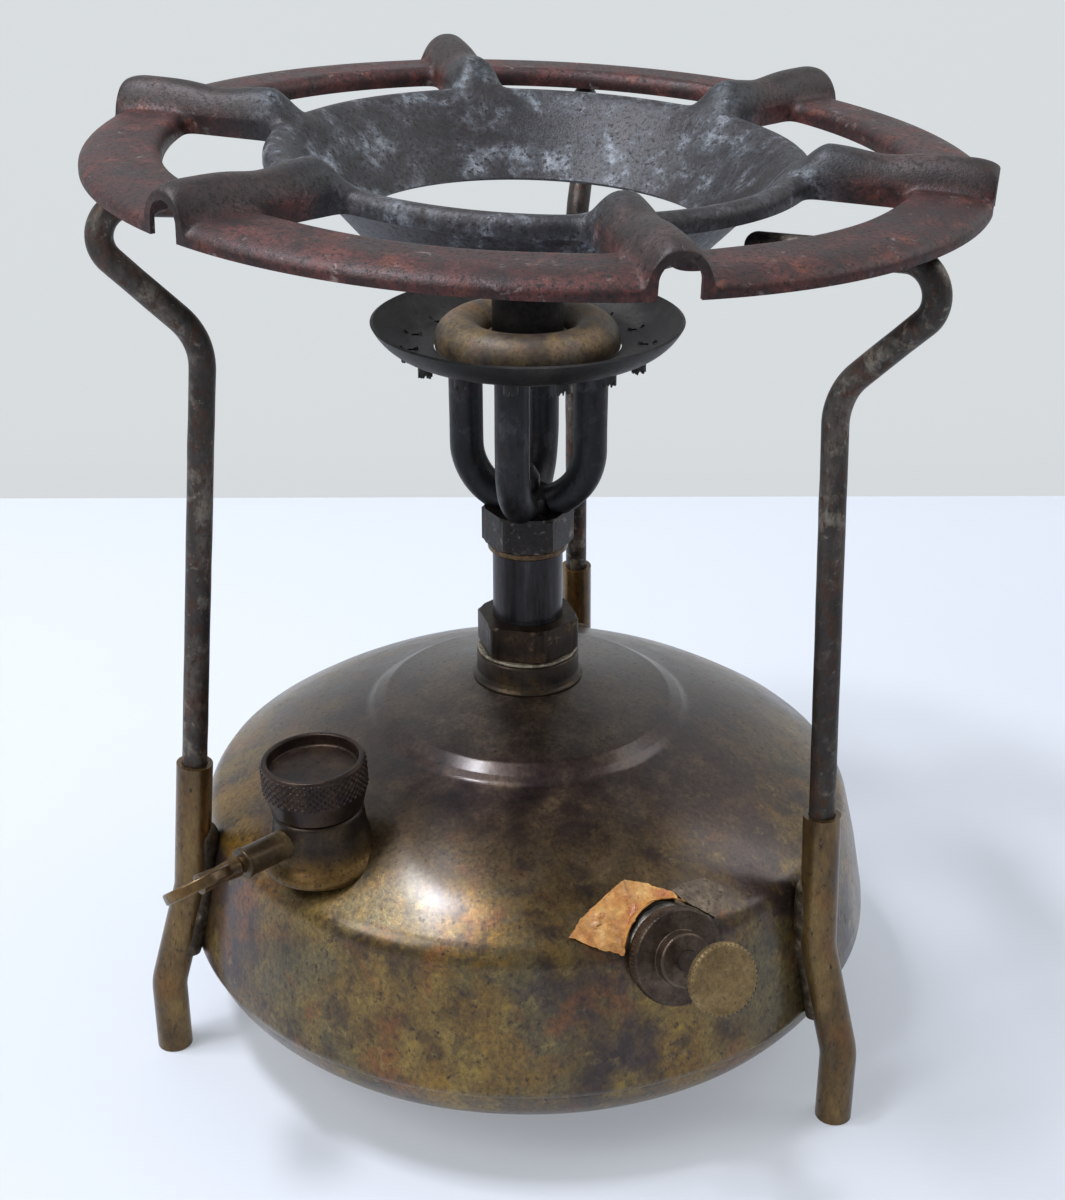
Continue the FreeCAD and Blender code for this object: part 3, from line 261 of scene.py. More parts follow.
def old_metal(
    name, shades, patch, flecks, rough, metallic, pits, streak=1.0, zones=(), coat=0.0, blooms=(), stain_top=0.62,
    grain=0.12,
):
    """shades run over patches of a size in mm, which streak stretches along Z. flecks are a colour, a share and a size.
    rough goes from its least to its most. pits are a size and a depth. Each zone ends with its own shades."""
    material, tree = empty_material(name)
    where = add(tree, "ShaderNodeTexCoord").outputs["Object"]
    stretched = add(tree, "ShaderNodeMapping", {"Scale": (1.0, 1.0, 1.0 / streak)}, Vector=where).outputs[0]

    # The drift of the colour, the blooms and zones on it, and the dark stains.
    patches = {"Scale": 1000 / patch, "Detail": 8.0, "Roughness": 0.66, "Distortion": 0.15}
    drift = add(tree, "ShaderNodeTexNoise", patches, Vector=stretched).outputs["Fac"]
    colour = bloomed(tree, where, ramp(tree, drift, shades), blooms)
    for *zone, over in zones:
        colour = blended(tree, zone_share(tree, where, drift, zone), colour, ramp(tree, drift, over))
    stains = {"Scale": 1000 / (STAIN * patch), "Detail": 4.0, "Roughness": 0.6}
    cloud = add(tree, "ShaderNodeTexNoise", stains, Vector=stretched).outputs["Fac"]
    soft = {"From Min": 0.47, "From Max": 0.66, "To Max": stain_top}
    stained = add(tree, "ShaderNodeMapRange", soft, Value=cloud).outputs[0]
    colour = blended(tree, stained, colour, shades[0][1])

    # A fine grain that is lighter and darker, and the flecks on top.
    grains = {"Scale": 1000 / GRAIN, "Detail": 5.0, "Roughness": 0.75}
    speck = add(tree, "ShaderNodeTexNoise", grains, Vector=stretched).outputs["Fac"]
    light = {"From Min": 0.35, "From Max": 0.65, "To Min": 1 - 2 * grain, "To Max": 1 + 2 * grain}
    graded = add(tree, "ShaderNodeMapRange", light, Value=speck).outputs[0]
    colour = add(tree, "ShaderNodeVectorMath", {"operation": "SCALE"}, _0=colour, Scale=graded).outputs[0]
    tint, share, size = flecks
    dirt = {"Scale": 1000 / size, "Detail": 6.0, "Roughness": 0.7}
    dust = add(tree, "ShaderNodeTexNoise", dirt, Vector=stretched).outputs["Fac"]
    edges = {"From Min": 0.62 - 0.25 * share, "From Max": 0.74 - 0.25 * share}
    mask = add(tree, "ShaderNodeMapRange", edges, Value=dust).outputs[0]
    colour = blended(tree, mask, colour, tint)

    # The gloss follows the drift and is dull on a fleck. The pits are a bump.
    wear = {"From Min": 0.3, "From Max": 0.7, "To Min": rough[0], "To Max": rough[1]}
    worn = add(tree, "ShaderNodeMapRange", wear, Value=drift).outputs[0]
    dull = add(tree, "ShaderNodeMath", {"operation": "MULTIPLY_ADD", 1: 0.14}, _0=mask, _2=worn).outputs[0]
    wide, depth = pits
    fine = {"Scale": 1000 / wide, "Detail": 4.0, "Roughness": 0.6}
    height = add(tree, "ShaderNodeTexNoise", fine, Vector=where).outputs["Fac"]
    bump = add(tree, "ShaderNodeBump", {"Strength": 1.0, "Distance": depth * MM}, Height=height).outputs[0]
    gloss = {"Metallic": metallic, "Coat Weight": coat, "Coat Roughness": 0.2}
    skin = add(tree, "ShaderNodeBsdfPrincipled", gloss, Base_Color=colour, Roughness=dull, Normal=bump)
    add(tree, "ShaderNodeOutputMaterial", Surface=skin.outputs[0])
    return material


# %% [markdown]
# ## The finishes
# Brass is two parts copper to one of zinc. Left alone it turns brown and olive, and only where hands rub it does the
# gold come back. Steel near the flame goes blue-black, and the pressed ring above it scales and rusts.

# %% Brass finishes
# Old brass with a thick brown oxide: olive and gold low down, grey-brown on the dome, and plum round the platform,
# where the heat was greatest. The film of oil and smoke on it gives soft white highlights, so it has a coat.
tank_brass = old_metal(
    "tarnished_brass_sheet",
    [(0.33, "#2f2115"), (0.42, "#4c3819"), (0.5, "#624d22"), (0.57, "#6e592b"), (0.65, "#7f672b"), (0.75, "#907b3d")],
    patch=10.0, flecks=("#2a1c14", 0.24, 1.5), rough=(0.28, 0.46), metallic=0.62, pits=(0.9, 0.05), streak=1.3,
    zones=[
        ("along", (0, 0, 1), 60, 82, 11, [(0.32, "#1d1513"), (0.46, "#332620"), (0.57, "#453528"), (0.72, "#5e4e37")]),
        ("out", (0, 0, 0), 60, 42, 8, [(0.32, "#1b1314"), (0.48, "#2f221f"), (0.6, "#403129"), (0.74, "#57483a")]),
        ("out", (0, 0, 0), 39, 31, 3, [(0.32, "#251e1b"), (0.48, "#3a3027"), (0.6, "#493d31"), (0.74, "#5e503d")]),
    ],
    coat=0.4,
    blooms=[
        (46, 0.5, 0.6, "#555039"), (30, 0.51, 0.8, "#7b5a1b"), (36, 0.52, 0.85, "#34272b"), (15, 0.55, 0.6, "#75451c"),
        (11, 0.55, 0.7, "#261d19"), (5, 0.57, 0.45, "#2d2320"), (4, 0.58, 0.4, "#8f7c46"),
    ],
    stain_top=0.35, grain=0.2,
)
# Drawn brass tube, held and wiped often: browner than the tank but smoother, so it keeps a longer, clearer gleam.
leg_brass = old_metal(
    "brown_brass_tube",
    [(0.3, "#34261a"), (0.48, "#5a4528"), (0.6, "#705933"), (0.75, "#8c7442")],
    patch=14.0, flecks=("#211913", 0.2, 1.2), rough=(0.26, 0.4), metallic=0.7, pits=(0.5, 0.02), streak=2.5, coat=0.2,
    blooms=[(16, 0.54, 0.6, "#6f4a24"), (12, 0.56, 0.6, "#4b4638")], stain_top=0.4,
)
# Cast and turned brass beside the filler, never polished: olive black, and gold only at the foot where fuel runs.
neck_brass = old_metal(
    "olive_brass_casting",
    [(0.3, "#1d1714"), (0.5, "#33281d"), (0.66, "#4a3a23"), (0.78, "#66512e")],
    patch=9.0, flecks=("#1a1512", 0.3, 1.0), rough=(0.32, 0.5), metallic=0.65, pits=(0.45, 0.02),
    zones=[("along", (0, 0, 1), 76, 71, 1.5, [(0.3, "#4a3419"), (0.5, "#6b4f22"), (0.7, "#806433")])],
)
# Turned brass with a knurl full of old oil: the ridges glint and the valleys between them stay black.
cap_brass = old_metal(
    "dark_turned_brass",
    [(0.32, "#211a18"), (0.5, "#362a24"), (0.68, "#4b3b2d"), (0.8, "#62503b")],
    patch=8.0, flecks=("#171310", 0.25, 1.0), rough=(0.34, 0.5), metallic=0.75, pits=(0.4, 0.015),
)
# Turned brass that a hand reaches now and then: an even olive brown with a satin gleam.
boss_brass = old_metal(
    "olive_turned_brass",
    [(0.3, "#33281c"), (0.5, "#54442c"), (0.68, "#6b583a"), (0.8, "#837050")],
    patch=6.0, flecks=("#231b13", 0.2, 0.9), rough=(0.32, 0.46), metallic=0.7, pits=(0.4, 0.015),
)
# Turned brass under an oily thumb: chocolate brown with a satin gleam, and paler on its small boss.
plate_brass = old_metal(
    "brown_turned_brass",
    [(0.3, "#30261f"), (0.5, "#4f4136"), (0.68, "#695a4d"), (0.8, "#857567")],
    patch=6.0, flecks=("#231b13", 0.2, 0.9), rough=(0.32, 0.46), metallic=0.7, pits=(0.4, 0.015),
)
# Turned brass that a hand pumps every day: paler and duller than the rest, with the yellow coming through.
knob_brass = old_metal(
    "handled_brass",
    [(0.3, "#625033"), (0.5, "#7f6945"), (0.7, "#8f7954"), (0.82, "#a38f6a")],
    patch=6.0, flecks=("#4a3d28", 0.2, 0.8), rough=(0.4, 0.56), metallic=0.6, pits=(0.35, 0.015),
)
# A machined brass nut below the burner, in its smoke: nearly black flats, rubbed to gold by the spanner in places.
nut_brass = old_metal(
    "smoked_brass_nut",
    [(0.3, "#1d1713"), (0.5, "#33271d"), (0.68, "#4d3b29"), (0.82, "#7d6442")],
    patch=7.0, flecks=("#15110e", 0.25, 1.0), rough=(0.36, 0.52), metallic=0.75, pits=(0.4, 0.03),
    blooms=[(4, 0.57, 0.55, "#80663f")],
)
# A soft cast lead washer, squeezed thin: chalky grey and matt, the palest line on the burner.
old_lead = old_metal(
    "pale_lead_washer",
    [(0.3, "#4f483c"), (0.5, "#8d8370"), (0.75, "#c8bfa9")],
    patch=2.5, flecks=("#3a3226", 0.35, 0.8), rough=(0.4, 0.6), metallic=0.4, pits=(0.5, 0.05),
)

# %% Steel, iron and solder finishes
# Drawn mild steel rod that was scoured and rusted many times: grey, pitted, with brown bruises and pale scratches.
rod_steel = old_metal(
    "pitted_steel_rod",
    [(0.3, "#262220"), (0.48, "#3d3834"), (0.6, "#514a44"), (0.74, "#6d635a")],
    patch=9.0, flecks=("#4a2f20", 0.35, 1.3), rough=(0.38, 0.56), metallic=0.65, pits=(0.45, 0.07), streak=2.0,
    blooms=[
        (7, 0.54, 0.7, "#7f776b"), (9, 0.56, 0.6, "#5b3a28"), (3, 0.58, 0.6, "#1f1b19"), (2.5, 0.6, 0.5, "#a39a8a"),
    ],
)
# Drawn steel tube, blued by heat: smooth and dark, with streaks along its length and a sharp gleam.
riser_steel = old_metal(
    "blued_steel_tube",
    [(0.3, "#1b1a1b"), (0.5, "#2c2a2b"), (0.66, "#3d3b3d"), (0.8, "#56545a")],
    patch=5.0, flecks=("#171516", 0.15, 1.0), rough=(0.3, 0.42), metallic=0.75, pits=(0.3, 0.008), streak=6.0,
)
# Steel tube that stands in the flame: sooty black, cooler grey where the soot flaked, brown where it rusts.
cage_steel = old_metal(
    "heat_blackened_tube",
    [(0.3, "#131314"), (0.5, "#202023"), (0.66, "#2e2e30"), (0.8, "#403e3d")],
    patch=9.0, flecks=("#0f0f10", 0.2, 1.2), rough=(0.36, 0.54), metallic=0.6, pits=(0.4, 0.03), streak=3.0,
    blooms=[(6, 0.55, 0.5, "#4c4b4f"), (8, 0.57, 0.5, "#3a2a22")],
)
# A forged and milled iron hexagon under the cage: black, with bare grey metal at its worn spots.
hub_iron = old_metal(
    "worn_blackened_hexagon",
    [(0.3, "#171413"), (0.5, "#272220"), (0.66, "#393330"), (0.8, "#524a44")],
    patch=5.0, flecks=("#110f0e", 0.3, 0.9), rough=(0.36, 0.54), metallic=0.6, pits=(0.4, 0.06),
    blooms=[(2.5, 0.58, 0.6, "#8a8177"), (5, 0.56, 0.5, "#4a3524")],
)
# A thin turned collar of copper alloy: warm and bright between two dark pieces.
collar_copper = old_metal(
    "coppery_collar",
    [(0.3, "#33271e"), (0.5, "#5e4a35"), (0.75, "#a48a66")],
    patch=4.0, flecks=("#241815", 0.2, 0.8), rough=(0.3, 0.42), metallic=0.85, pits=(0.3, 0.01),
)
# A brazed bronze ring in the middle of the flame: scaled in brown, grey and straw patches, quite matt.
head_bronze = old_metal(
    "heat_tinted_bronze",
    [(0.3, "#342c27"), (0.44, "#54473a"), (0.54, "#6b5a3c"), (0.62, "#735d4a"), (0.78, "#575450")],
    patch=7.0, flecks=("#4a382c", 0.3, 1.0), rough=(0.46, 0.62), metallic=0.45, pits=(0.5, 0.05),
    blooms=[(14, 0.52, 0.7, "#5c5750"), (10, 0.55, 0.6, "#7a4f2e"), (4, 0.58, 0.6, "#362c26")],
)
# Thin pressed iron under soot: an even warm black that takes hardly any light.
sooty_iron = old_metal(
    "sooty_pressed_iron",
    [(0.3, "#161514"), (0.48, "#232120"), (0.62, "#35322f"), (0.78, "#4d4842")],
    patch=11.0, flecks=("#121111", 0.2, 1.4), rough=(0.46, 0.62), metallic=0.5, pits=(0.5, 0.03),
)
# Tin solder run down behind each leg and gone brown: lumpy, with bright grey where it was rubbed.
# Its shades are also darkened as painted shade, for the shadow that lies on the bead behind the leg.
shadowed_seam_solder = old_metal(
    "browned_and_shadowed_solder",
    [(0.3, "#2e261e"), (0.48, "#4c4133"), (0.62, "#6d6254"), (0.76, "#a9a193")],
    patch=3.0, flecks=("#211a13", 0.3, 0.9), rough=(0.36, 0.54), metallic=0.65, pits=(0.6, 0.06),
)
# Tin solder at the pump, younger than the rest: plain grey and slightly lumpy.
grey_solder = old_metal(
    "old_tin_solder",
    [(0.3, "#47423c"), (0.5, "#6f6a62"), (0.75, "#a09b92")],
    patch=4.0, flecks=("#3a332a", 0.3, 0.9), rough=(0.35, 0.5), metallic=0.7, pits=(0.6, 0.06),
)
# Vegetable-tanned leather soaked in oil: dark brown, no metal in it, with a fine pore.
oiled_leather = old_metal(
    "oiled_leather",
    [(0.3, "#2a1b12"), (0.5, "#3f2a1b"), (0.75, "#5a3e28")],
    patch=3.0, flecks=("#1d130d", 0.2, 0.5), rough=(0.5, 0.65), metallic=0.0, pits=(0.3, 0.03),
)
print("finishes:", len(bpy.data.materials))

# %% [markdown]
# ## Turned, bent and pressed: three shapes of sheet and bar
# Nearly everything on a stove like this came off a lathe, out of a tube bender or from under a press. A turned piece is
# a half section swept round an axis. A bent one is a circle carried along a line whose corners are arcs. Real edges
# are never sharp, so sections are drawn as corners with a radius, and one function rounds them.


# %% Rounded lines
def rounded(corners, steps=6):
    """A line through corners; a corner with one more number than the others is rounded to that radius."""
    size = len(corners[0])
    points = []
    for i, corner in enumerate(corners):
        here = Vector(corner[:size])
        radius = corner[size] if len(corner) > size else 0.0
        if radius <= 0 or i in (0, len(corners) - 1):
            points.append(here)
            continue
        back = (Vector(corners[i - 1][:size]) - here).normalized()
        ahead = (Vector(corners[i + 1][:size]) - here).normalized()
        half = back.angle(ahead) / 2
        reach = radius / math.tan(half)
        middle = here + (back + ahead).normalized() * (radius / math.sin(half))
        start, end = here + back * reach - middle, here + ahead * reach - middle
        sweep = start.angle(end)
        for k in range(steps + 1):
            share = k / steps
            mixed = start * math.sin((1 - share) * sweep) + end * math.sin(share * sweep)
            points.append(middle + mixed / math.sin(sweep))
    return points


line = rounded([(0, 0), (10, 0, 3.0), (10, 10)])
print("a rounded corner has", len(line), "points")


# %% Meshes into pieces
def between_rows(rows, wide, around=True, closed=False):
    """Faces between rows of points. around joins the ends of each row, closed joins the last row to the first."""
    faces = []
    for i in range(rows if closed else rows - 1):
        low, high = i * wide, (i + 1) % rows * wide
        for k in range(wide if around else wide - 1):
            n = (k + 1) % wide
            faces.append((low + k, low + n, high + n, high + k))
    return faces


def new_mesh(name, vertices, faces):
    """A mesh from points in mm."""
    mesh = bpy.data.meshes.new(name)
    mesh.from_pydata([Vector(v) * MM for v in vertices], [], faces)
    return mesh


def baked(mesh, modifiers=(), merge=0.0):
    """The mesh after its modifiers, as a plain mesh. Each modifier is a type and its settings."""
    shape = bmesh.new()
    shape.from_mesh(mesh)
    if merge:
        bmesh.ops.remove_doubles(shape, verts=shape.verts, dist=merge * MM)
        bmesh.ops.recalc_face_normals(shape, faces=shape.faces)
    shape.to_mesh(mesh)
    shape.free()
    if not modifiers:
        return mesh
    carrier = placed("carrier", mesh)
    for kind, settings in modifiers:
        modifier = carrier.modifiers.new(kind.lower(), kind)
        for key, value in settings.items():
            if key in modifier.bl_rna.properties:
                setattr(modifier, key, value)
            else:
                modifier[key] = value
    bpy.context.view_layer.update()
    result = bpy.data.meshes.new_from_object(carrier.evaluated_get(bpy.context.evaluated_depsgraph_get()))
    bpy.data.objects.remove(carrier)
    return result


def piece(name, meshes, material, body, replaced=(), place=None, sharp=40):
    """Join meshes into one smooth-shaded object that rides on a body and may stand for CAD nodes."""
    shape = bmesh.new()
    for mesh in meshes:
        shape.from_mesh(mesh)
    mesh = bpy.data.meshes.new(name)
    shape.to_mesh(mesh)
    shape.free()
    if place:
        mesh.transform(place)
    mesh.materials.clear()
    mesh.materials.append(material)
    for face in mesh.polygons:
        face.use_smooth = True
        face.material_index = 0
    mesh.set_sharp_from_angle(angle=math.radians(sharp))
    thing = placed(name, mesh)
    if replaced:
        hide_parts(*replaced)
    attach(thing, body)
    print(f"{name}: {len(mesh.polygons)} faces on {body}")
    return thing


# %% Turned pieces
def around_z(turn, r, z):
    """A point at a turn in radians, counted from the front (-Y) towards the right (+X)."""
    return (r * math.sin(turn), -r * math.cos(turn), z)


def turned(section, steps=96, closed=True, ripple=None):
    """Sweep a half section of (radius, height) round Z. ripple(radius, height, turn) may nudge the radius."""
    section = [p for i, p in enumerate(section) if i == 0 or (Vector(p) - Vector(section[i - 1])).length > 1e-4]
    vertices = []
    for r, z in section:
        for k in range(steps):
            turn = 2 * math.pi * k / steps
            out = r + (ripple(r, z, turn) if ripple and r > 0.01 else 0.0)
            vertices.append(around_z(turn, out, z))
    return baked(new_mesh("turned", vertices, between_rows(len(section), steps, closed=closed)), merge=0.001)


def dents(depth, size, seed=0.0):
    """A ripple for sheet metal that has been knocked about: depth and size in mm, and a seed."""

    def ripple(r, z, turn):
        """How far the metal is pushed in at this place."""
        place = Vector(around_z(turn, r, z)) / size
        return -depth * (noise.noise(place + Vector((seed, 0, 0))) + 0.5)

    return ripple


# %% Bent pieces
# A straight run is cut about this often, so that lumps of this size can show in it.
RUN, LUMP = 6.0, 7.0


def bent(corners, radius, bore=0.0, steps=24, bend_steps=8, lumps=0.0):
    """A bar or tube along corners of (x, y, z, bend radius). A bar's far end is domed, and lumps make it uneven."""
    path = rounded([corners[0][:3], *corners[1:]], bend_steps)
    filled = [path[0]]
    for point in path[1:]:
        start = filled[-1]
        cuts = max(1, round((point - start).length / RUN))
        filled += [start.lerp(point, k / cuts) for k in range(1, cuts + 1)]
    rings = []
    side = None
    for i, point in enumerate(filled):
        before, after = filled[max(i - 1, 0)], filled[min(i + 1, len(filled) - 1)]
        along = (after - before).normalized()
        side = (side - along * side.dot(along)).normalized() if side else along.orthogonal().normalized()
        rings.append((point, along, side, along.cross(side)))
    if bore:
        lines = [(p, s, u, radius) for p, a, s, u in rings]
        lines += [(p, s, u, bore) for p, a, s, u in reversed(rings)]
    else:
        lines = [(rings[0][0], rings[0][2], rings[0][3], 0.0)]
        lines += [(p, s, u, radius) for p, a, s, u in rings[:-1]]
        tip, along, s, u = rings[-1]
        for t in (math.pi / 2 * k / 6 for k in range(7)):
            lines.append((tip + along * radius * math.sin(t) * 0.98, s, u, max(radius * math.cos(t), 0.0)))
    vertices = []
    for point, side, up, wide in lines:
        for k in range(steps):
            turn = 2 * math.pi * k / steps
            spot = point + (side * math.cos(turn) + up * math.sin(turn)) * wide
            lump = 1 - lumps * (noise.noise(spot / LUMP) + 0.5) if lumps else 1
            vertices.append(point + (spot - point) * lump)
    faces = between_rows(len(lines), steps, closed=bool(bore))
    return baked(new_mesh("bent", vertices, faces), merge=0.001)


# %% [markdown]
# ## A slice, repeated round an axis
# The pot ring, the drum of slots, the knurled edges and the drip dish all have the same wedge again and again. It would
# be a waste to model all of them. A small Geometry Nodes tree takes one wedge and sets copies of it round the Z axis,
# welds their edges and gives them their material. Its inputs are the number of wedges and where the first one stands.

# %% The tree that repeats a wedge
# Points nearer than this many mm are welded.
WELD = 0.02
repeat = bpy.data.node_groups.new("wedge_round_axis", "GeometryNodeTree")
for title, kind in (("Geometry", "Geometry"), ("Count", "Int"), ("First turn", "Float"), ("Finish", "Material")):
    repeat.interface.new_socket(title, in_out="INPUT", socket_type=f"NodeSocket{kind}")
repeat.interface.new_socket("Geometry", in_out="OUTPUT", socket_type="NodeSocketGeometry")
given = add(repeat, "NodeGroupInput")
spots = add(repeat, "GeometryNodePoints", Count=given.outputs["Count"])
number = add(repeat, "GeometryNodeInputIndex")
share = add(repeat, "ShaderNodeMath", {"operation": "DIVIDE"}, _0=number.outputs[0], _1=given.outputs["Count"])
whole_turn = {"operation": "MULTIPLY_ADD", 1: 2 * math.pi}
turn = add(repeat, "ShaderNodeMath", whole_turn, _0=share.outputs[0], _2=given.outputs["First turn"])
angles = add(repeat, "ShaderNodeCombineXYZ", Z=turn.outputs[0])
standing = {"Points": spots.outputs[0], "Instance": given.outputs["Geometry"], "Rotation": angles.outputs[0]}
copies = add(repeat, "GeometryNodeInstanceOnPoints", **standing)
real = add(repeat, "GeometryNodeRealizeInstances", Geometry=copies.outputs[0])
welded = add(repeat, "GeometryNodeMergeByDistance", {"Distance": WELD * MM}, Geometry=real.outputs[0])
finished = add(repeat, "GeometryNodeSetMaterial", Geometry=welded.outputs[0], Material=given.outputs["Finish"])
add(repeat, "NodeGroupOutput", _0=finished.outputs[0])
socket = {item.name: item.identifier for item in repeat.interface.items_tree if item.in_out == "INPUT"}
print("inputs of the tree:", socket)


def round_axis(wedge, count, first, material):
    """Copies of a wedge round Z; first is the azimuth of the first one in degrees."""
    settings = {
        "node_group": repeat,
        socket["Count"]: count,
        socket["First turn"]: math.radians(first),
        socket["Finish"]: material,
    }
    return baked(baked(wedge, [("NODES", settings)]), merge=WELD)


# %% [markdown]
# ## A hole with a frame round it
# A pressed gap or a punched slot looks right only when its edge is smooth. So a wedge is not a grid with faces cut out.
# Its lines run from the hole's edge to the wedge's edge, and they lie closer together at both ends, where the sheet
# curls. Two neighbours meet along straight sides with the same points, so they weld without a seam.


# %% Points round a closed shape
# Each side is first cut into this many steps, and the whole loop then into this many even ones.
FINE, EVEN = 60, 480


def straight(a, b):
    """A side of a shape from a to b, as a function of a share from 0 to 1."""
    return lambda share: a.lerp(b, share)


def smooth_loop(sides, counts, blur):
    """Points round a closed shape: counts[i] of them along side i, corners rounded by averaging over blur mm."""
    dense = [side(k / FINE) for side in sides for k in range(FINE)]
    lengths = [(dense[(i + 1) % len(dense)] - dense[i]).length for i in range(len(dense))]
    total = sum(lengths)
    even = []
    place, at = 0.0, 0
    for k in range(EVEN):
        goal = total * k / EVEN
        while place + lengths[at] < goal:
            place += lengths[at]
            at += 1
        even.append(dense[at].lerp(dense[(at + 1) % len(dense)], (goal - place) / lengths[at]))
    reach = max(1, round(blur / total * EVEN))
    for _ in range(2):
        even = [
            sum((even[(k + j) % EVEN] for j in range(-reach, reach + 1)), Vector((0, 0))) / (2 * reach + 1)
            for k in range(EVEN)
        ]
    ends, done = [0.0], 0
    for i in range(len(sides)):
        done += sum(lengths[i * FINE : (i + 1) * FINE])
        ends.append(done / total * EVEN)
    loop = []
    for i, count in enumerate(counts):
        for k in range(count):
            where = ends[i] + (ends[i + 1] - ends[i]) * k / count
            first = int(where) % EVEN
            loop.append(even[first].lerp(even[(first + 1) % EVEN], where - int(where)))
    return loop


# %% Frames of faces
def framed(hole, border, rings, shape, walls=()):
    """Faces between a hole's edge and a border. shape(point, edge, depth) gives x, y, z in mm, where edge is how far
    the point is from the hole. walls adds rows past the hole's edge, each with its depth."""
    rows = [[shape(h, 0.0, depth) for h in hole] for depth in walls]
    for k in range(rings + 1):
        share = 0.5 - 0.5 * math.cos(math.pi * k / rings)
        rows.append([shape(h.lerp(b, share), (b - h).length * share, 0.0) for h, b in zip(hole, border)])
    return new_mesh("framed", [point for row in rows for point in row], between_rows(len(rows), len(hole)))


# %% Sheet thickness and seats
def sheet(mesh, gauge, outward):
    """Give an open surface its thickness on the side away from outward(point)."""
    total = sum(face.normal.dot(outward(face.center)) * face.area for face in mesh.polygons)
    if total < 0:
        mesh.flip_normals()
    return baked(mesh, [("SOLIDIFY", {"thickness": gauge * MM, "offset": -1.0})])


def seat(foot, axis):
    """Where a piece stands that was drawn along Z: its foot in mm and its axis."""
    lean = Vector((0, 0, 1)).rotation_difference(Vector(axis)).to_matrix().to_4x4()
    return Matrix.Translation(Vector(foot) * MM) @ lean


def azimuth(degrees, r=1.0, z=0.0):
    """The same point as around_z gives, for a turn in degrees, as a vector."""
    return Vector(around_z(math.radians(degrees), r, z))


print("front right:", azimuth(45, 10))

# %% [markdown]
# ## The tank
# Two spun brass shells are soldered into one round tank. The upper one has a flat crown with a raised platform round
# the burner bush, a dome, a rounded shoulder and a slightly hollow side. Its section is drawn in millimetres from the
# real profile, and the shell gets shallow dents, because thin brass that has been carried for years is never true.

# %% Tank top
# Corners of the half section: radius, height, and the radius that rounds the corner.
GAUGE = 0.9
top_line = [
    (9.9, 91.0),
    (14.2, 91.0, 4.0),
    (36.8, 85.3, 3.0),
    (39.9, 83.4, 2.0),
    (41.6, 81.9, 4.5),
    (52.78, 78.26, 120.0),
    (62.87, 73.93, 120.0),
    (72.48, 68.61, 100.0),
    (82.9, 61.6, 8.5),
    (86.6, 46.0, 60.0),
    (89.2, 32.2, 5.0),
    (89.6, 28.0, 4.0),
    (89.0, 26.6),
]
outer_line = rounded(top_line, 9)
tank_shell = turned(outer_line, 256, closed=False, ripple=dents(0.22, 19.0, 3.0))
tank_shell = sheet(tank_shell, GAUGE, lambda p: Vector((p.x, p.y, max(p.z - 0.03, 0.0))))
print("tank top section:", len(outer_line), "points")

# %% Holes for the filler and the pump
# Cut with a real boolean, so that the bores are open when the cap is off. The whole shell is kept for the patches.
# Both fittings are seated by a foot in mm and an axis, and their pieces are drawn along Z.
FILLER = seat((-49.3, -50.0, 70.0), (-0.042133, -0.011290, 0.999048))
PUMP = seat((34.1014, -81.124, 60.3), (0.362975, -0.863484, 0.350207))
FILLER_BORE, PUMP_BORE = 9.0, 9.26


def punched(mesh, cutters):
    """The mesh without the space that the cutters fill."""
    tools = [placed("cutter", cutter) for cutter in cutters]
    bpy.context.view_layer.update()
    mesh = baked(mesh, [("BOOLEAN", {"operation": "DIFFERENCE", "object": tool}) for tool in tools])
    for tool in tools:
        bpy.data.objects.remove(tool)
    return mesh


def rod_cutter(radius, low, high, place):
    """A round cutter along the axis of a place."""
    mesh = turned([(0, low), (radius, low), (radius, high), (0, high)], 48, closed=False)
    mesh.transform(place)
    return mesh


whole_shell = tank_shell.copy()
bores = [rod_cutter(FILLER_BORE, -16, 14, FILLER), rod_cutter(PUMP_BORE, -60, 6, PUMP)]
tank_shell = punched(tank_shell, bores)
piece("tank_dome", [tank_shell], tank_brass, "tank", ["tank_top"], sharp=50)

# %% Tank bowl
bowl_line = rounded(
    [(88.1, 30.4), (88.65, 26.4, 3.0), (86.4, 19.6, 18.0), (78.6, 13.4, 12.0), (73.0, 11.4, 4.0),
     (70.0, 11.3, 3.0), (66.0, 12.6, 12.0), (30.0, 15.2, 60.0), (0.0, 16.2)],
    7,
)
bowl_shell = turned(bowl_line, 192, closed=False, ripple=dents(0.2, 23.0, 9.0))
bowl_shell = sheet(bowl_shell, GAUGE, lambda p: Vector((p.x, p.y, -0.03)))
piece("tank_bowl_shell", [bowl_shell], tank_brass, "tank", ["tank_bowl"], sharp=50)

# %% Burner bush
# A turned brass bush, soldered into the crown, with a soft bright ring at its foot where the solder ran.
bush_line = [
    (7.0, 84.0), (9.8, 84.0), (9.8, 90.9), (15.2, 90.95, 0.4), (13.4, 91.9, 1.2), (13.0, 93.2, 1.0), (13.0, 98.3, 0.7),
    (7.0, 98.3),
]
piece("bush_ring", [turned(rounded(bush_line), 128)], neck_brass, "tank", ["burner_bush"])

# %% [markdown]
# ## Legs and support rods
# Three brass tubes, pinched at no point, are soldered to the side of the tank. Steel rods drop into them, lean out
# above the tank and hook back inwards to carry the ring. Each leg was bent by hand, so each leans a little its own way.

# %% Lines of the legs
# For each leg its azimuth, the axis of its upper part, and how much higher than its place the rod stands.
LEGS = {
    "right": (50.05, (-0.023458, 0.083208, 0.996256), -4.56),
    "back": (170.05, (-0.014158, -0.080706, 0.996637), 0.75),
    "left": (290.05, (0.087742, 0.026472, 0.995791), 1.7),
}
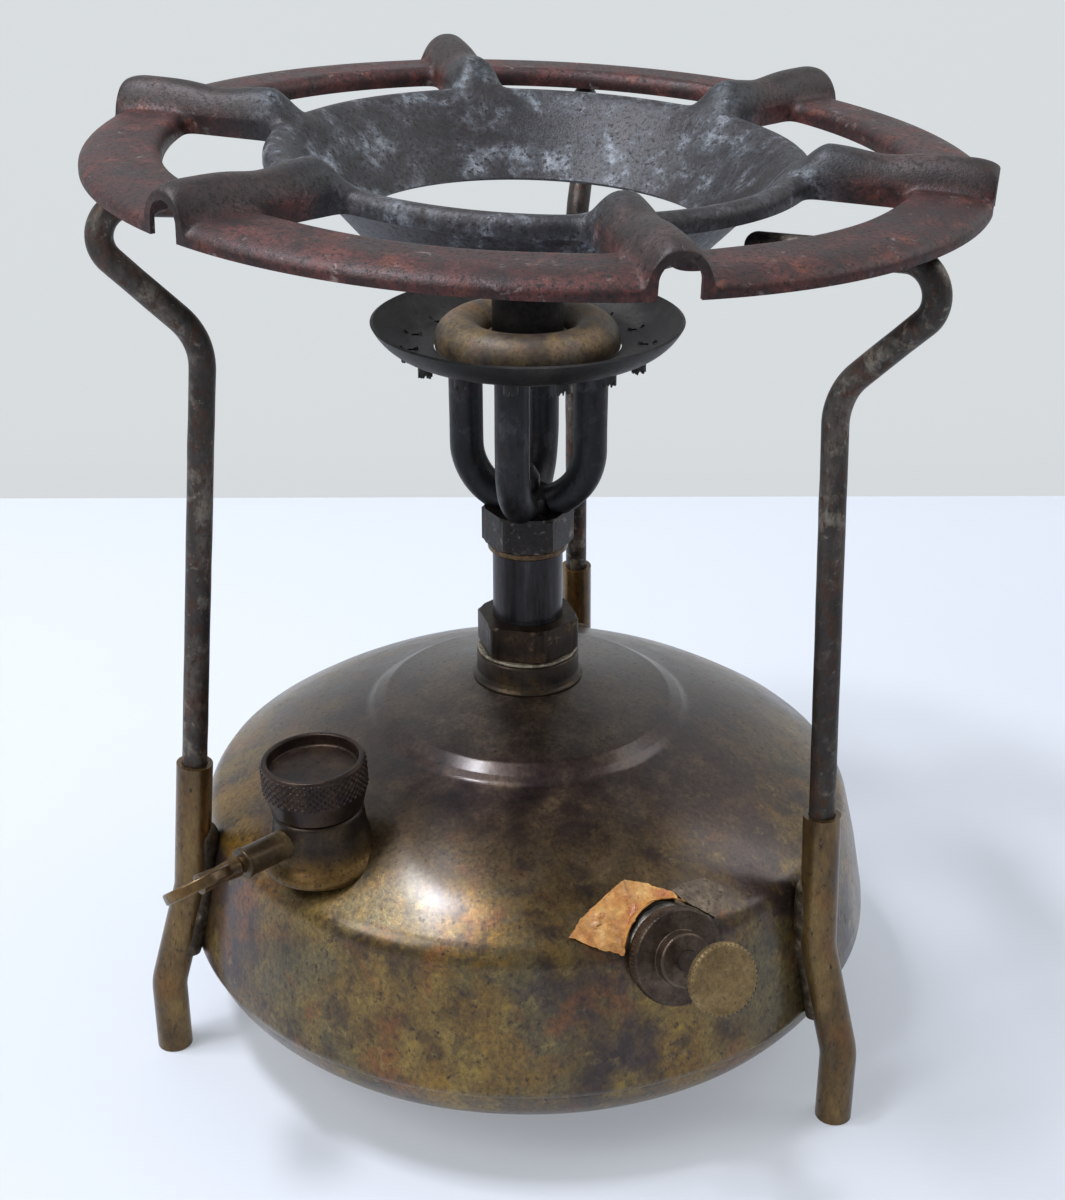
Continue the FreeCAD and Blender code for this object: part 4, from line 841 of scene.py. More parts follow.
# All in mm: OUT is from the stove's axis, UP is from the table. Then radii, bends and lengths of the tube, its bead of
# solder and its rod. The rod flares out above the tank, and its prong droops a little towards the middle.
KNEE_OUT, KNEE_UP, FOOT_OUT, ANKLE_UP = 90.3, 47.0, 98.3, 19.5
TUBE, TUBE_BORE, TUBE_TOP, TUBE_BEND = 4.45, 3.2, 35.0, 16.0
BEAD, BEAD_LOW, BEAD_TOP, BEAD_IN, BEAD_TOP_IN = 4.3, 28.5, 14.0, 2.6, 2.2
ROD, ROD_FOOT, ROD_BEND, SLANT_LONG, PRONG_LONG = 3.1, 9.0, 140.7, 32.0, 36.0
FLARE, DROOP = math.radians(48.8), math.radians(1.0)
# The hook's two corners just touch, so their arcs are a hair smaller than the bend that places them.
HOOK_BEND, HOOK_ARC = 7.2, 7.19


def leg_lines(side):
    """Corners of the leg tube, its solder and its rod, each with a bend radius."""
    turn, axis, lift = LEGS[side]
    out, axis, up = azimuth(turn), Vector(axis), Vector((0, 0, 1))
    knee = out * KNEE_OUT + up * KNEE_UP
    foot = out * FOOT_OUT
    ankle = foot + up * ANKLE_UP
    tube = [(*foot, 0), (*ankle, TUBE_BEND), (*knee, TUBE_BEND), (*(knee + axis * TUBE_TOP), 0)]
    low = ankle.lerp(knee, (BEAD_LOW - ANKLE_UP) / (KNEE_UP - ANKLE_UP)) - out * BEAD_IN
    high = knee + axis * BEAD_TOP - out * BEAD_TOP_IN
    bead = [(*low, 0), (*(knee - out * BEAD_IN), TUBE_BEND), (*high, 0)]
    outward = (out - axis * out.dot(axis)).normalized()
    slant = axis * math.cos(FLARE) + outward * math.sin(FLARE)
    prong = -outward * math.cos(DROOP) - axis * math.sin(DROOP)
    shoulder = HOOK_BEND * math.tan(slant.angle(prong) / 4)
    start, bend = knee + axis * (ROD_FOOT + lift), knee + axis * (ROD_BEND + lift)
    low_hook = bend + slant * SLANT_LONG
    high_hook = low_hook + (slant + prong).normalized() * 2 * shoulder
    end = high_hook + prong * (shoulder + PRONG_LONG)
    rod = [(*start, 0), (*bend, TUBE_BEND), (*low_hook, HOOK_ARC), (*high_hook, HOOK_ARC), (*end, 0)]
    return tube, bead, rod


print("the right rod's corners:", len(leg_lines("right")[2]))

# %% Legs, solder and rods
for side in LEGS:
    tube, bead, rod = leg_lines(side)
    leg = bent(tube, TUBE, TUBE_BORE, steps=40)
    piece(f"leg_{side}", [leg], leg_brass, "tank", [f"leg_tube_{side}"])
    run = bent(bead, BEAD, steps=28, lumps=0.14)
    piece(f"solder_{side}", [run], shadowed_seam_solder, "tank", [f"leg_solder_{side}"])
    bar = bent(rod, ROD, steps=36, bend_steps=12, lumps=0.035)
    piece(f"rod_{side}_bar", [bar], rod_steel, f"rod_{side}", [f"support_rod_{side}"])

# %% [markdown]
# ## The pot ring
# One disc of sheet iron was pressed into a band, a lip and a funnel, joined by six hollow ribs that carry the pot.
# Between the ribs are six gaps whose edges are rolled down. All six parts are alike, so one wedge is drawn round a
# gap and repeated. Its height is worked out from three rules: a line for the funnel, a flat for the band and the lip,
# and a rounded ridge for the rib. A soft maximum of band and rib gives the small fillet that a press leaves.

# %% Heights of the ring
RING_FOOT, RING_AXIS = (2.4, 1.2, 221.376), (0.036436, -0.022536, 0.999082)
RING = seat(RING_FOOT, RING_AXIS)
# Radii of the funnel's hole, the two ends of a gap, and the rim. A rib's half width, and half a wedge in degrees.
HOLE, LIP, BAND, RIM = 41.0, 62.5, 84.5, 102.5
HALF_RIB, HALF_WEDGE = 6.3, 30
# Heights over the ring's lower edge. The funnel starts low and rises; a rib's ridge has a saddle and ends in a nose.
FUNNEL_LOW, FUNNEL_RISE, FLAT_TOP, RIDGE_TOP, RIB_FOOT = -14.0, 1.088, 4.3, 10.9, 2.2
SADDLE_DEEP, SADDLE_OUT, SADDLE_LONG = 1.2, 78.0, 7.0
NOSE_OUT, NOSE_LONG, NOSE_END = 66.0, 12.0, 54.0
# How far the sheet curls down at a gap, at the rim of the band, and at the end of a rib.
GAP_CURL, RIM_CURL, RIB_CURL = 3.0, 8.0, 6.0


def roll(gap, radius):
    """How far an edge of the sheet has curled down at a distance from that edge."""
    return radius - math.sqrt(max(radius**2 - (radius - gap) ** 2, 0.0)) if gap < radius else 0.0


def soft_max(a, b, soft):
    """The larger of two heights, with a fillet where they cross."""
    return (a + b + math.sqrt((a - b) ** 2 + soft**2)) / 2


def ring_height(point, edge):
    """Height of the sheet's top over the ring's lower edge, for a point (across, out) of the wedge."""
    r, turn = point.length, abs(math.atan2(point.x, point.y))
    off = math.radians(HALF_WEDGE) - turn
    aside, out = abs(r * math.sin(off)), r * math.cos(off)
    slope = FUNNEL_LOW + (r - HOLE) * FUNNEL_RISE
    base = -soft_max(-slope, -FLAT_TOP, 1.4) + 0.2
    base -= roll(edge, GAP_CURL) if LIP - 4 < r < BAND + 4 else 0.0
    base -= 0.42 * roll(RIM - r, RIM_CURL)
    saddle = SADDLE_DEEP * math.exp(-(((out - SADDLE_OUT) / SADDLE_LONG) ** 2))
    ridge = RIDGE_TOP - saddle - 0.32 * roll(RIM - r, RIB_CURL)
    ease = min(max((NOSE_OUT - out) / NOSE_LONG, 0.0), 1.0)
    nose = 1 - ease * ease * (3 - 2 * ease)
    foot = min(RIB_FOOT, slope + 0.2)
    ridge = foot + (ridge - foot) * nose
    wide = HALF_RIB + 0.3
    if aside < wide:
        rib = foot + (ridge - foot) * (1 - (aside / wide) ** 2.3) ** 0.62
    else:
        rib = foot - (aside - wide) * 1.6
    return soft_max(base, rib - 3.0 * max(NOSE_END - out, 0.0), 1.5)


def spot(radius, degrees):
    """A point of the wedge (across, out), from its radius and its turn off the wedge's middle line."""
    turn = math.radians(degrees)
    return Vector((radius * math.sin(turn), radius * math.cos(turn)))


print("ridge of a rib:", round(ring_height(spot(70, 30), 20), 2), "mm")

# %% The wedge of the ring
# Points stand closest together where the rib's end curves, so their first distances from its middle are listed one
# by one, and the rest are even up to the middle of the gap. A gap's sides and its inner end have even points.
SIDE, INNER = 38, 44
HALF_RIM = 53.67


def arc_side(radius, start, end):
    """A side along an arc: radius in mm, ends in degrees off the wedge's middle line."""
    return lambda share: spot(radius, start + (end - start) * share)


in_turn, out_turn = (HALF_WEDGE - math.degrees(math.asin(HALF_RIB / radius)) for radius in (LIP, BAND))
from_rib = [0, 0.7, 1.4, 2.1, 2.8, 3.4, 3.8, 4.1, 4.27, 4.33, 4.8, 5.4, 6.0, 6.6, 7.3, 8.2, 9.4]
last = from_rib[-1]
from_rib += [last + (HALF_RIM - last) * k / 26 for k in range(1, 27)]
rim_turns = [HALF_WEDGE - math.degrees(along / RIM) for along in from_rib]
rim_turns += [-turn for turn in reversed(rim_turns[1:-1])]
gap_sides = [
    arc_side(LIP, -in_turn, in_turn),
    straight(spot(LIP, in_turn), spot(BAND, out_turn)),
    arc_side(BAND, out_turn, -out_turn),
    straight(spot(BAND, -out_turn), spot(LIP, -in_turn)),
]
gap_edge = smooth_loop(gap_sides, [INNER, SIDE, len(rim_turns), SIDE], 2.1)
wedge_edge = [spot(HOLE, -HALF_WEDGE + 2 * HALF_WEDGE * k / INNER) for k in range(INNER)]
wedge_edge += [spot(HOLE + (RIM - HOLE) * k / SIDE, HALF_WEDGE) for k in range(SIDE)]
wedge_edge += [spot(RIM, turn) for turn in rim_turns]
wedge_edge += [spot(RIM - (RIM - HOLE) * k / SIDE, -HALF_WEDGE) for k in range(SIDE)]


def ring_point(point, edge, depth):
    """The sheet over a point of the wedge; a row past the gap's edge is lowered by a share of the height."""
    return (point.x, -point.y, ring_height(point, edge) * (1 - depth))


ring_wedge = framed(gap_edge, wedge_edge, 24, ring_point, walls=(1.0, 0.6, 0.25))
print("a wedge has", len(ring_wedge.polygons), "faces")

# %% The rim's skirt with the open rib ends
# Below a rib the skirt ends in a round arch, and elsewhere it reaches the ring's lower edge.
ARCH, ARCH_FOOT, SKIRT_ROWS = 4.3, 3.4, (0.0, 0.3, 0.65, 1.0)
skirt_turns = rim_turns + [-HALF_WEDGE]
skirt = []
for depth in SKIRT_ROWS:
    for turn in skirt_turns:
        here = spot(RIM, turn)
        top = ring_height(here, 30.0)
        aside = RIM * math.radians(HALF_WEDGE - abs(turn))
        low = ARCH_FOOT + math.sqrt(max(ARCH**2 - aside**2, 0.0)) if aside < ARCH else 0.0
        skirt.append((here.x, -here.y, top + (low - top) * depth))
both = bmesh.new()
both.from_mesh(ring_wedge)
both.from_mesh(new_mesh("skirt", skirt, between_rows(len(SKIRT_ROWS), len(skirt_turns), around=False)))
whole_wedge = bpy.data.meshes.new("ring_wedge")
both.to_mesh(whole_wedge)
both.free()
print("with its skirt it has", len(whole_wedge.polygons))

# %% The whole ring
# Pressed iron, hottest at the middle: dull red rust on the band, brown scale on the ribs, bare blue-grey at the lip.
ring_iron = old_metal(
    "rusted_pressed_iron",
    [(0.3, "#1b0d0c"), (0.46, "#331816"), (0.57, "#47211e"), (0.72, "#5e322a")],
    patch=8.0, flecks=("#160d0c", 0.42, 1.1), rough=(0.42, 0.6), metallic=0.25, pits=(0.6, 0.1),
    zones=[
        ("along", RING_AXIS, 225.6, 228.6, 1.4, [
            (0.3, "#130f0e"), (0.48, "#251c1a"), (0.6, "#362b29"), (0.74, "#514643"),
        ]),
        ("out", RING_FOOT, 77, 64, 5, [
            (0.3, "#16181a"), (0.47, "#25292d"), (0.55, "#383e43"), (0.6, "#5a6167"), (0.7, "#868e95"),
        ]),
    ],
    blooms=[(10, 0.53, 0.6, "#1e1110"), (7, 0.58, 0.5, "#703a22"), (3.5, 0.6, 0.5, "#8a807a")],
    stain_top=0.5, grain=0.2,
)
# The thickness pushes the skirt out a little, so it is brought back to the rim's radius.
FIRST_GAP, RING_GAUGE, FULL_RIM = 44.0, 1.1, RIM + 0.1
ring_top = round_axis(whole_wedge, 180 // HALF_WEDGE, FIRST_GAP, ring_iron)
ring_top = sheet(ring_top, RING_GAUGE, lambda p: Vector((p.x * 0.2, p.y * 0.2, 1.0)))
for vertex in ring_top.vertices:
    reach = vertex.co.to_2d().length
    if reach > FULL_RIM * MM:
        vertex.co.xy *= FULL_RIM * MM / reach
piece("pot_ring_pressing", [ring_top], ring_iron, "ring", ["pot_ring", "ring_funnel"], RING, sharp=48)

# %% [markdown]
# ## The burner
# Paraffin climbs the riser, boils in four vapour tubes, and leaves the jet as gas. The tubes carry a hollow bronze
# ring with a drip dish round it, and two loose caps turn the gas into a ring of blue flame. A hexagon is drawn as a
# turned piece whose radius follows six flats, so its corners can be turned off and slightly rounded as real ones are.


# %% Hexagons
def hexagon(flats, low, high, bore, first):
    """A nut blank with chamfered ends and soft corners; first is the azimuth in degrees of one flat's middle."""
    across = flats / 2
    corner = across / math.cos(math.radians(30))
    bevel = (corner - across) * 0.62
    section = [(bore, low), (corner - bevel, low), (corner, low + bevel * 0.6), (corner, high - bevel * 0.6)]
    section += [(corner - bevel, high), (bore, high)]

    def flat_sides(r, z, turn):
        """How far the nearest flat cuts into the round blank; the bore stays round."""
        if r <= bore + 0.01:
            return 0.0
        off = (math.degrees(turn) - first + 30) % 60 - 30
        side = across / math.cos(math.radians(off))
        return min(side, corner - 0.25, r) - r

    return turned(section, 144, ripple=flat_sides)


nut = hexagon(23.0, 99.25, 108.1, 4.8, -14.0)
stub = turned([(4.8, 88.2), (6.9, 88.2), (6.9, 99.3), (4.8, 99.3)], 64)
piece("nut_hexagon", [nut, stub], nut_brass, "burner", ["burner_nut"], sharp=24)
hub = hexagon(20.2, 128.3, 137.3, 3.0, 0.0)
hub_line = [(0, 137.0), (6.4, 137.0), (6.4, 141.0), (5.4, 142.0), (0, 142.0)]
hub_top = turned(hub_line, 64, closed=False)
piece("hub_hexagon", [hub, hub_top], hub_iron, "burner", ["burner_hub"], sharp=24)

# %% Riser, collar and washers
riser_line = [(7.4, 108.0), (8.9, 108.0), (8.75, 109.0, 1.0), (8.75, 126.4), (7.4, 126.4)]
piece("riser_tube", [turned(rounded(riser_line), 96)], riser_steel, "burner", ["burner_riser"])
collar_line = [(7.4, 126.4), (10.0, 126.4, 0.5), (10.0, 128.28, 0.5), (7.4, 128.28)]
piece("collar_ring", [turned(rounded(collar_line), 96)], collar_copper, "burner", ["hub_collar"])
lead_line = [(7.05, 98.35), (12.85, 98.35, 0.35), (12.75, 99.15, 0.3), (7.05, 99.15)]
lead = turned(rounded(lead_line), 96, ripple=dents(0.25, 2.2, 5.0))
piece("lead_washer", [lead], old_lead, "burner_seal", ["burner_washer"])

# %% Vapour tubes and the bronze ring
# Each tube starts inside the hub, slants out to its knee, and then stands upright under the ring. The ring is a circle
# of tube, so its section is a circle too.
CAGE_TURN, CAGE_OUT, CAGE_KNEE, CAGE_TOP, SLANT_OUT = -14, 15.45, 144.0, 178.0, 9.2
RING_MIDDLE, RING_TUBE, RING_UP = 16.25, 6.05, 180
slope = math.radians(62)
for i in range(4):
    out = azimuth(CAGE_TURN + 90 * i)
    knee = out * CAGE_OUT + Vector((0, 0, CAGE_KNEE))
    start = knee - (out * math.sin(slope) + Vector((0, 0, math.cos(slope)))) * (SLANT_OUT / math.sin(slope))
    line = [(*start, 0), (*knee, 15.0), (*(out * CAGE_OUT + Vector((0, 0, CAGE_TOP))), 0)]
    tube = bent(line, 4.2, steps=28, bend_steps=12, lumps=0.02)
    piece(f"vapour_tube_bend_{i + 1}", [tube], cage_steel, "burner", [f"vapour_tube_{i + 1}"])
turns = [math.pi * k / 14 for k in range(28)]
loop = [(RING_MIDDLE + RING_TUBE * math.cos(t), RING_UP + RING_TUBE * math.sin(t)) for t in turns]
head = turned(loop, 112, ripple=dents(0.12, 6.0, 2.0))
piece("bronze_ring", [head], head_bronze, "burner", ["burner_head"])

# %% [markdown]
# ## The drip dish
# Before lighting, spirit burns in this dish to warm the tubes. Fifteen holes were punched through it from above, and
# each left a torn collar below. One wedge with one hole is drawn, and the same tree repeats it fifteen times.


# %% Drip dish
# The plate is flat out to its hole circle and then rises in an arc. A wedge runs from the dish's inner edge to its rim.
PLATE_TOP, FLAT_OUT, ARC_OUT, ARC_UP, ARC = 179.0, 28.9, 25.82, 190.57, 12
PUNCHED, PUNCH_CIRCLE, DISH_HOLE, DISH_RIM = 1.7, 28.6, 22.35, 36.6
HOLES, FIRST_HOLE, STEPS, DISH_GAUGE = 15, 16.0, 12, 0.75
half_dish = 180 / HOLES


def dish_point(point, edge, depth):
    """The dish over a point of the wedge; a row past the hole's edge hangs down as a ragged collar."""
    r = point.length
    z = PLATE_TOP if r < FLAT_OUT else ARC_UP - math.sqrt(ARC**2 - (r - ARC_OUT) ** 2)
    z -= roll(edge, 0.7)
    ragged = 1 + 0.9 * noise.noise(Vector((point.x * 1.7, point.y * 1.7, 4.0)))
    return (point.x, -point.y, z - depth * ragged)


hole = []
for k in range(4 * STEPS):
    turn = 2 * math.pi * (k - STEPS / 2) / (4 * STEPS)
    hole.append(Vector((-PUNCHED * math.sin(turn), PUNCH_CIRCLE - PUNCHED * math.cos(turn))))
edge_points = [spot(DISH_HOLE, -half_dish + 2 * half_dish * k / STEPS) for k in range(STEPS)]
edge_points += [spot(DISH_HOLE + (DISH_RIM - DISH_HOLE) * k / STEPS, half_dish) for k in range(STEPS)]
edge_points += [spot(DISH_RIM, half_dish - 2 * half_dish * k / STEPS) for k in range(STEPS)]
edge_points += [spot(DISH_RIM - (DISH_RIM - DISH_HOLE) * k / STEPS, -half_dish) for k in range(STEPS)]
dish_wedge = framed(hole, edge_points, 12, dish_point, walls=(2.1, 1.2, 0.5))
dish_top = round_axis(dish_wedge, HOLES, FIRST_HOLE, sooty_iron)
dish_top = sheet(dish_top, DISH_GAUGE, lambda p: Vector((-p.x, -p.y, 1.0)))
piece("drip_dish", [dish_top], sooty_iron, "burner", ["burner_dish"], sharp=60)

# %% Outer flame cap
# A strip of the drum with one slot in it is repeated. The slot's walls go in as far as the sheet is thick.
DRUM, SLOTS, DRUM_GAUGE = 14.8, 20, 0.9
STRIP_LOW, STRIP_HIGH, SLOT_LOW, SLOT_HIGH, HALF_SLOT = 196.4, 204.4, 197.5, 203.5, 0.8
half_strip = math.pi * DRUM / SLOTS


def drum_point(point, edge, depth):
    """A point of the flat strip, wrapped round the drum."""
    return around_z(point.x / DRUM, DRUM - DRUM_GAUGE * depth - roll(edge, 0.3), point.y)


def box_loop(half, low, high, across, up):
    """Points round a rectangle, counter-clockwise from its lower left corner."""
    loop = [Vector((-half + 2 * half * k / across, low)) for k in range(across)]
    loop += [Vector((half, low + (high - low) * k / up)) for k in range(up)]
    loop += [Vector((half - 2 * half * k / across, high)) for k in range(across)]
    return loop + [Vector((-half, high - (high - low) * k / up)) for k in range(up)]


slot = box_loop(HALF_SLOT, SLOT_LOW, SLOT_HIGH, 4, 8)
strip = box_loop(half_strip, STRIP_LOW, STRIP_HIGH, 4, 8)
slot_wedge = framed(slot, strip, 4, drum_point, walls=(1.0, 0.5))
slots = round_axis(slot_wedge, SLOTS, 5.0, sooty_iron)
lid_line = rounded([(14.0, 204.4), (14.8, 204.4), (14.8, 205.5, 1.0), (0.6, 205.5), (0, 205.5)])
lower_line = [(7.6, 182.0), (8.5, 182.0), (8.5, 195.4), (14.2, 195.5), (14.8, 196.1), (14.8, 196.45), (13.9, 196.4)]
drum_parts = [slots, turned(lid_line, 80, closed=False), turned(lower_line + [(7.6, 196.3)], 80)]
piece("slotted_cap", drum_parts, sooty_iron, "outer_flame_cap", ["outer_cap"])

# %% [markdown]
# ## Filler, vent and pump
# The three fittings that a hand touches every day are turned from brass bar. Their edges are knurled, which means a
# hardened wheel pressed a row of ridges into them. A knurl is one ridge repeated, so it comes from the same tree.


# %% Knurled bands
# How far apart the rows of points are in mm, and how long and deep the chamfer at each end of a band is.
DIAMOND_ROW, RIDGE_ROW = 0.35, 2.0
CHAMFER_LONG, CHAMFER_DEEP = 0.5, 0.4


def knurl(radius, low, high, count, deep, crossed):
    """One wedge of a knurled band round Z; a crossed knurl has diamonds, a plain one has straight ridges."""
    columns, rows = 6, max(2, round((high - low) / (DIAMOND_ROW if crossed else RIDGE_ROW)))
    pitch = 2 * math.pi * radius / count
    vertices = []
    for i in range(rows + 1):
        z = low + (high - low) * i / rows
        ends = min(z - low, high - z) / CHAMFER_LONG
        for k in range(columns + 1):
            share = k / columns
            lift = math.cos(2 * math.pi * share) * (math.cos(2 * math.pi * (z - low) / pitch) if crossed else 1)
            r = radius - deep * (0.5 - 0.5 * lift) - (CHAMFER_DEEP * (1 - ends) if ends < 1 else 0.0)
            vertices.append(around_z(math.radians((2 * share - 1) * 180.0 / count), r, z))
    return new_mesh("knurl", vertices, between_rows(rows + 1, columns + 1, around=False))


# %% Filler neck with its vent boss
# The boss is a thin tube that stands out sideways. It has a finish of its own, and both pieces stand for one node.
neck_line = [(7.5, -8.0), (8.9, -8.0), (8.9, -4.0), (16.0, -3.0, 2.0), (12.6, 1.6, 5.0), (11.2, 7.0, 4.0)]
neck_line += [(10.8, 12.0, 1.2), (9.4, 12.0, 0.3), (9.4, 19.4, 0.5), (7.5, 19.4)]
neck = turned(rounded(neck_line), 112)
neck.transform(FILLER)
VENT_FOOT, VENT_SIDE = Vector((-49.3, -50.0, 76.0)), azimuth(-46)
VENT = seat(VENT_FOOT, VENT_SIDE)
boss_line = [(0.9, 9.6), (3.8, 9.6), (3.5, 12.2, 1.0), (3.5, 22.2, 0.2), (3.75, 22.3, 0.2), (3.75, 23.2, 0.3)]
boss = turned(rounded(boss_line + [(2.1, 23.2), (2.1, 12.0)]), 56)
boss.transform(VENT)
piece("filler_neck_turned", [neck], neck_brass, "tank", ["filler_neck"])
piece("vent_boss", [boss], boss_brass, "tank", ["filler_neck"])

# %% Filler cap
cap_line = [(9.5, 17.0), (9.5, 12.4), (10.9, 12.4, 0.4), (12.1, 16.8, 1.2), (12.2, 17.2)]
cap_line += [(12.2, 24.4, 0.3), (11.9, 25.0, 0.5), (10.7, 25.0, 0.5), (10.5, 22.0, 0.6), (0, 22.0)]
cap_body = turned(rounded(cap_line) + [Vector((0, 20.6)), Vector((9.5, 20.6))], 112)
cap_knurl = round_axis(knurl(12.6, 17.0, 24.4, 46, 0.75, crossed=True), 46, 0.0, cap_brass)
piece("filler_cap_turned", [cap_body, cap_knurl], cap_brass, "filler_lid", ["filler_cap"], FILLER)

# %% Vent screw
# A pin with a coin for a finger grip, which is turned about the pin so that its face leans back.
COIN_OUT, COIN_TURN, COIN, HALF_COIN = 35.3, math.radians(38), 8.2, 1.35
pin_line = [(0, 10.2), (1.95, 10.2), (1.95, 23.0), (1.95, 24.0, 0.3), (2.5, 24.6, 0.4), (2.0, 30.0, 3.0)]
pin_line += [(2.4, 35.0), (0, 35.3)]
pin = turned(rounded(pin_line), 40, closed=False)
pin.transform(VENT)
coin_line = [(0, -HALF_COIN), (COIN, -HALF_COIN, 0.5), (COIN, HALF_COIN, 0.5), (0, HALF_COIN)]
coin = turned(rounded(coin_line), 72, closed=False)
facing = Matrix.Rotation(COIN_TURN, 3, VENT_SIDE) @ Vector((0, 0, 1))
coin.transform(seat(VENT_FOOT + VENT_SIDE * COIN_OUT, facing))
piece("vent_thumb_screw", [pin, coin], leg_brass, "vent", ["vent_screw"])

# %% Pump cap
plate_line = [(2.5, -2.2), (9.4, -2.2), (9.4, -4.2), (11.0, -4.2, 0.3), (11.2, -3.8), (11.2, -0.5), (10.9, 0.0, 0.4)]
plate_line += [(6.35, 0.0, 0.3), (6.35, 3.2, 0.8), (2.5, 3.2, 0.2)]
plate = turned(rounded(plate_line), 96)
rim = round_axis(knurl(11.5, -4.1, -0.1, 72, 0.4, crossed=False), 72, 0.0, plate_brass)
piece("pump_cap_turned", [plate, rim], plate_brass, "pump_lid", ["pump_cap"], PUMP)

# %% Pump knob
knob_line = [(2.45, 16.5), (4.0, 16.5, 0.6), (4.0, 19.1, 0.5), (7.6, 19.1, 0.4), (8.1, 19.6), (8.1, 21.0)]
knob_line += [(7.6, 21.5, 0.3), (0, 21.5)]
disc = turned(rounded(knob_line) + [Vector((0, 19.2)), Vector((2.45, 19.2))], 80)
serrated = round_axis(knurl(8.4, 19.2, 21.4, 44, 0.55, crossed=False), 44, 0.0, knob_brass)
piece("pump_knob_turned", [disc, serrated], knob_brass, "plunger", ["pump_knob"], PUMP)

# %% Pump solder
collar = rounded([(9.3, -16.0), (11.6, -14.0, 2.0), (10.9, -6.2, 3.0), (9.3, -5.0)])
fillet = turned(collar, 72, ripple=dents(0.5, 4.0, 6.0))
piece("pump_solder_bead", [fillet], grey_solder, "tank", ["pump_solder"], PUMP)

# %% [markdown]
# ## A scrap of tape
# Someone once sealed the leaking pump with paper tape, and a scrap of it is still stuck beside the cap, with a crust of
# sealing putty above it. Both are drawn as an outline of points near the tank, filled with rings of faces, laid on the
# dome by a Shrinkwrap modifier, and given a thickness.


# %% Patches laid on the dome
# Points between two corners, rings of faces, mm that a point is lifted, mm that stay clear round the pump's axis, and
# how far along that axis it does.
ALONG, RINGS, LIFTED, CLEAR, CLEAR_LOW = 12, 10, 3, 12, -16
# The sizes of a fold, a wrinkle and a crease in mm.
FOLD, WRINKLE, CREASE = 1000 / 190, 1000 / 460, 1000 / 120


def outward(point):
    """Roughly away from the dome, at a point in metres."""
    return Vector((point.x, point.y, 0.03)).normalized()


def patch(name, outline, lift, gauge, crumple, material, slot):
    """A thin sheet on the dome, inside an outline of points. crumple is how far its surface wanders, in mm. Its points
    are lifted first, so that none lies nearer to the inside of the shell, and it keeps clear of the pump's axis."""
    points = [Vector(p) for p in outline]
    count = ALONG * len(points)
    border = [p.lerp(ahead, k / ALONG) for p, ahead in zip(points, points[1:] + points[:1]) for k in range(ALONG)]
    middle = sum(border, Vector()) / count
    border = [p + (p - middle) * 0.04 * noise.noise(p * 0.9) for p in border]
    vertices = [middle] + [middle.lerp(p, k / RINGS) for k in range(1, RINGS + 1) for p in border]
    vertices = [p + Vector((p.x, p.y, 30)).normalized() * LIFTED for p in vertices]
    faces = [(0, 1 + k, 1 + (k + 1) % count) for k in range(count)]
    for i in range(RINGS - 1):
        low, high = 1 + i * count, 1 + (i + 1) * count
        faces += [(low + k, high + k, high + (k + 1) % count, low + (k + 1) % count) for k in range(count)]
    dome = placed("whole_dome", whole_shell)
    bpy.context.view_layer.update()
    laying = {"target": dome, "wrap_method": "NEAREST_SURFACEPOINT", "wrap_mode": "ABOVE_SURFACE", "offset": lift * MM}
    laid = baked(new_mesh(name, vertices, faces), [("SHRINKWRAP", laying)])
    bpy.data.objects.remove(dome)
    axis, foot = PUMP.col[2].to_3d(), PUMP.translation
    for vertex in laid.vertices:
        along = (vertex.co - foot).dot(axis)
        off = vertex.co - foot - axis * along
        if along > CLEAR_LOW * MM and off.length < CLEAR * MM:
            vertex.co += off.normalized() * (CLEAR * MM - off.length)
        out = outward(vertex.co)
        fold = noise.noise(vertex.co * (1000 / FOLD)) + 0.5 * noise.noise(vertex.co * (1000 / WRINKLE))
        crease = max(0.0, 1 - abs(noise.noise(vertex.co * (1000 / CREASE) + Vector((4.2, 0, 0)))) * 9)
        vertex.co += out * ((abs(fold) + 0.9 * crease) * crumple * MM)
    piece(name, [sheet(laid, gauge, outward)], material, "tank", sharp=30)


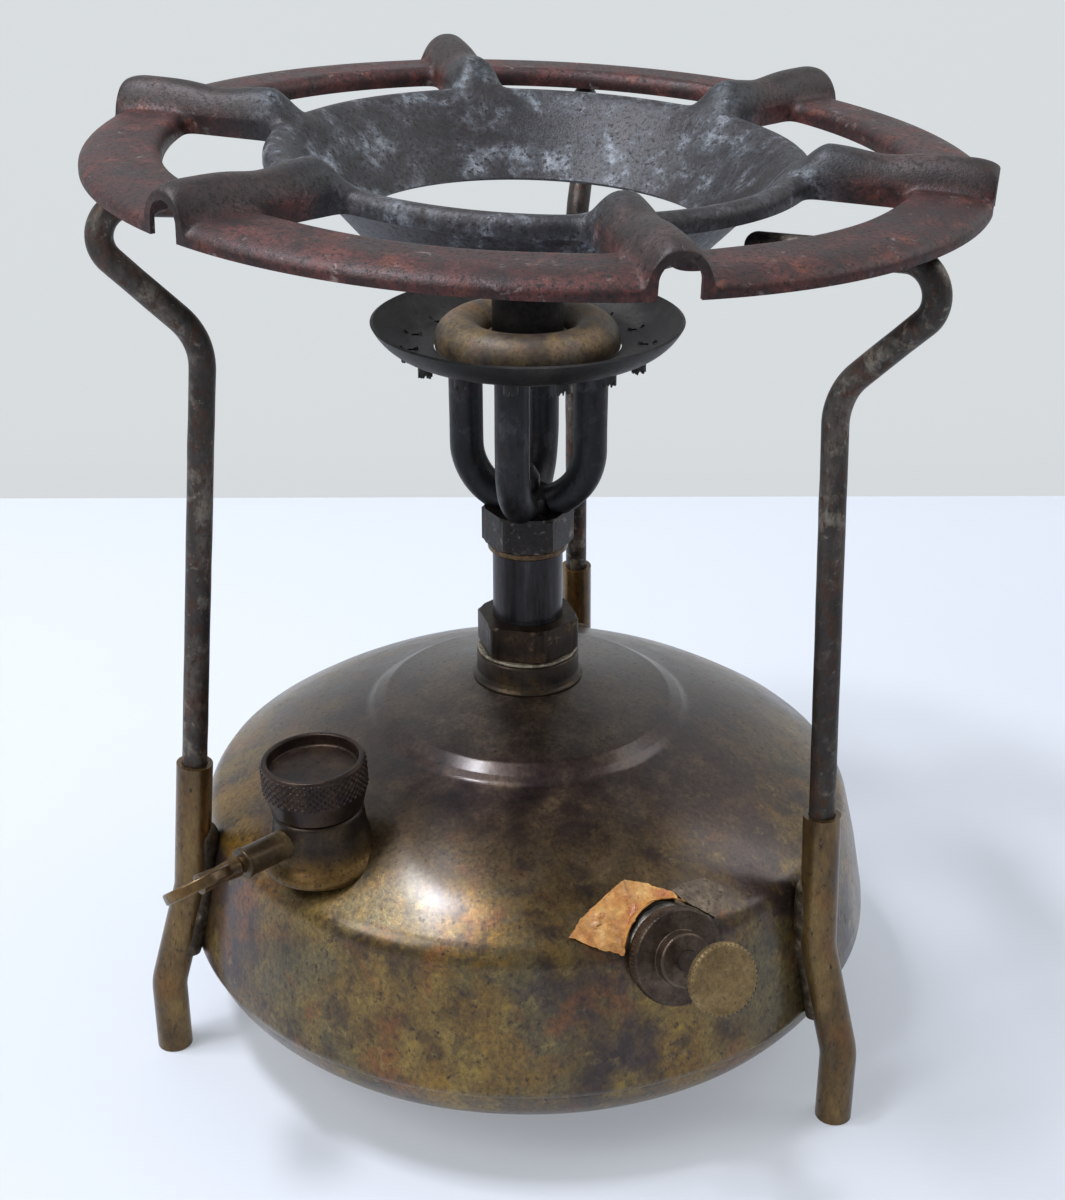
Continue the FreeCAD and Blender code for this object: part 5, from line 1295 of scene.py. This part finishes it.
# Crumpled paper tape soaked with oil: orange, pale on its folds and deep orange where the oil stands.
tape_paper = old_metal(
    "oily_orange_tape",
    [(0.3, "#955a26"), (0.45, "#ba8040"), (0.6, "#cb9a56"), (0.76, "#dfba80")],
    patch=5.0, flecks=("#93401c", 0.2, 1.8), rough=(0.42, 0.6), metallic=0.0, pits=(1.2, 0.12),
    coat=0.2, blooms=[(7, 0.57, 0.6, "#a3481f")],
)
# Hardened linseed putty: stone grey, quite matt, with dark cracks.
putty = old_metal(
    "cracked_putty",
    [(0.3, "#4c4034"), (0.48, "#695a49"), (0.62, "#80705d"), (0.78, "#9b8f7d")],
    patch=4.0, flecks=("#332c20", 0.35, 1.2), rough=(0.6, 0.8), metallic=0.0, pits=(0.7, 0.15),
)
tape_line = [(8.6, -77.0, 65.1), (11.4, -73.2, 67.3), (16.2, -68.5, 69.6), (21.2, -63.6, 71.5), (27.9, -64.1, 69.9)]
tape_line += [(32.1, -64.7, 68.6), (34.6, -67.4, 66.4), (28.8, -69.5, 66.7), (25.1, -74.4, 64.5), (22.7, -78.5, 62.0)]
tape_line += [(20.8, -79.9, 60.8), (15.8, -79.4, 62.7)]
patch("tape_scrap", tape_line, 0.5, 0.2, 0.85, tape_paper, "washer_fibre")
putty_line = [(32.1, -64.2, 68.8), (35.1, -61.9, 69.2), (40.0, -59.4, 68.9), (44.2, -60.0, 67.1)]
putty_line += [(44.9, -64.4, 64.5), (42.2, -67.9, 63.5), (38.3, -66.7, 65.5), (35.3, -66.4, 66.7)]
patch("putty_crust", putty_line, 0.3, 0.15, 0.3, putty, "solder")

# %% [markdown]
# ## What stays as the CAD made it
# Parts that sit inside, such as the barrel, the cup leather and the valve, are already the right shape. They only
# need their finishes, which go into the slots of the CAD objects.

# %% Finishes for the inner parts
kept = {
    leg_brass: ["pump_barrel", "valve_body", "cup_washer_back", "cup_washer_front", "cup_nut"],
    rod_steel: ["pump_rod", "valve_spring"],
    grey_solder: ["valve_pip"],
    oiled_leather: ["cup_leather", "filler_washer"],
    head_bronze: ["burner_throat"],
    sooty_iron: ["inner_cap", "jet"],
}
for finish, names in kept.items():
    for name in names:
        data = nodes[name].data
        data.materials.clear()
        data.materials.append(finish)
print("kept solids:", sum(len(names) for names in kept.values()))
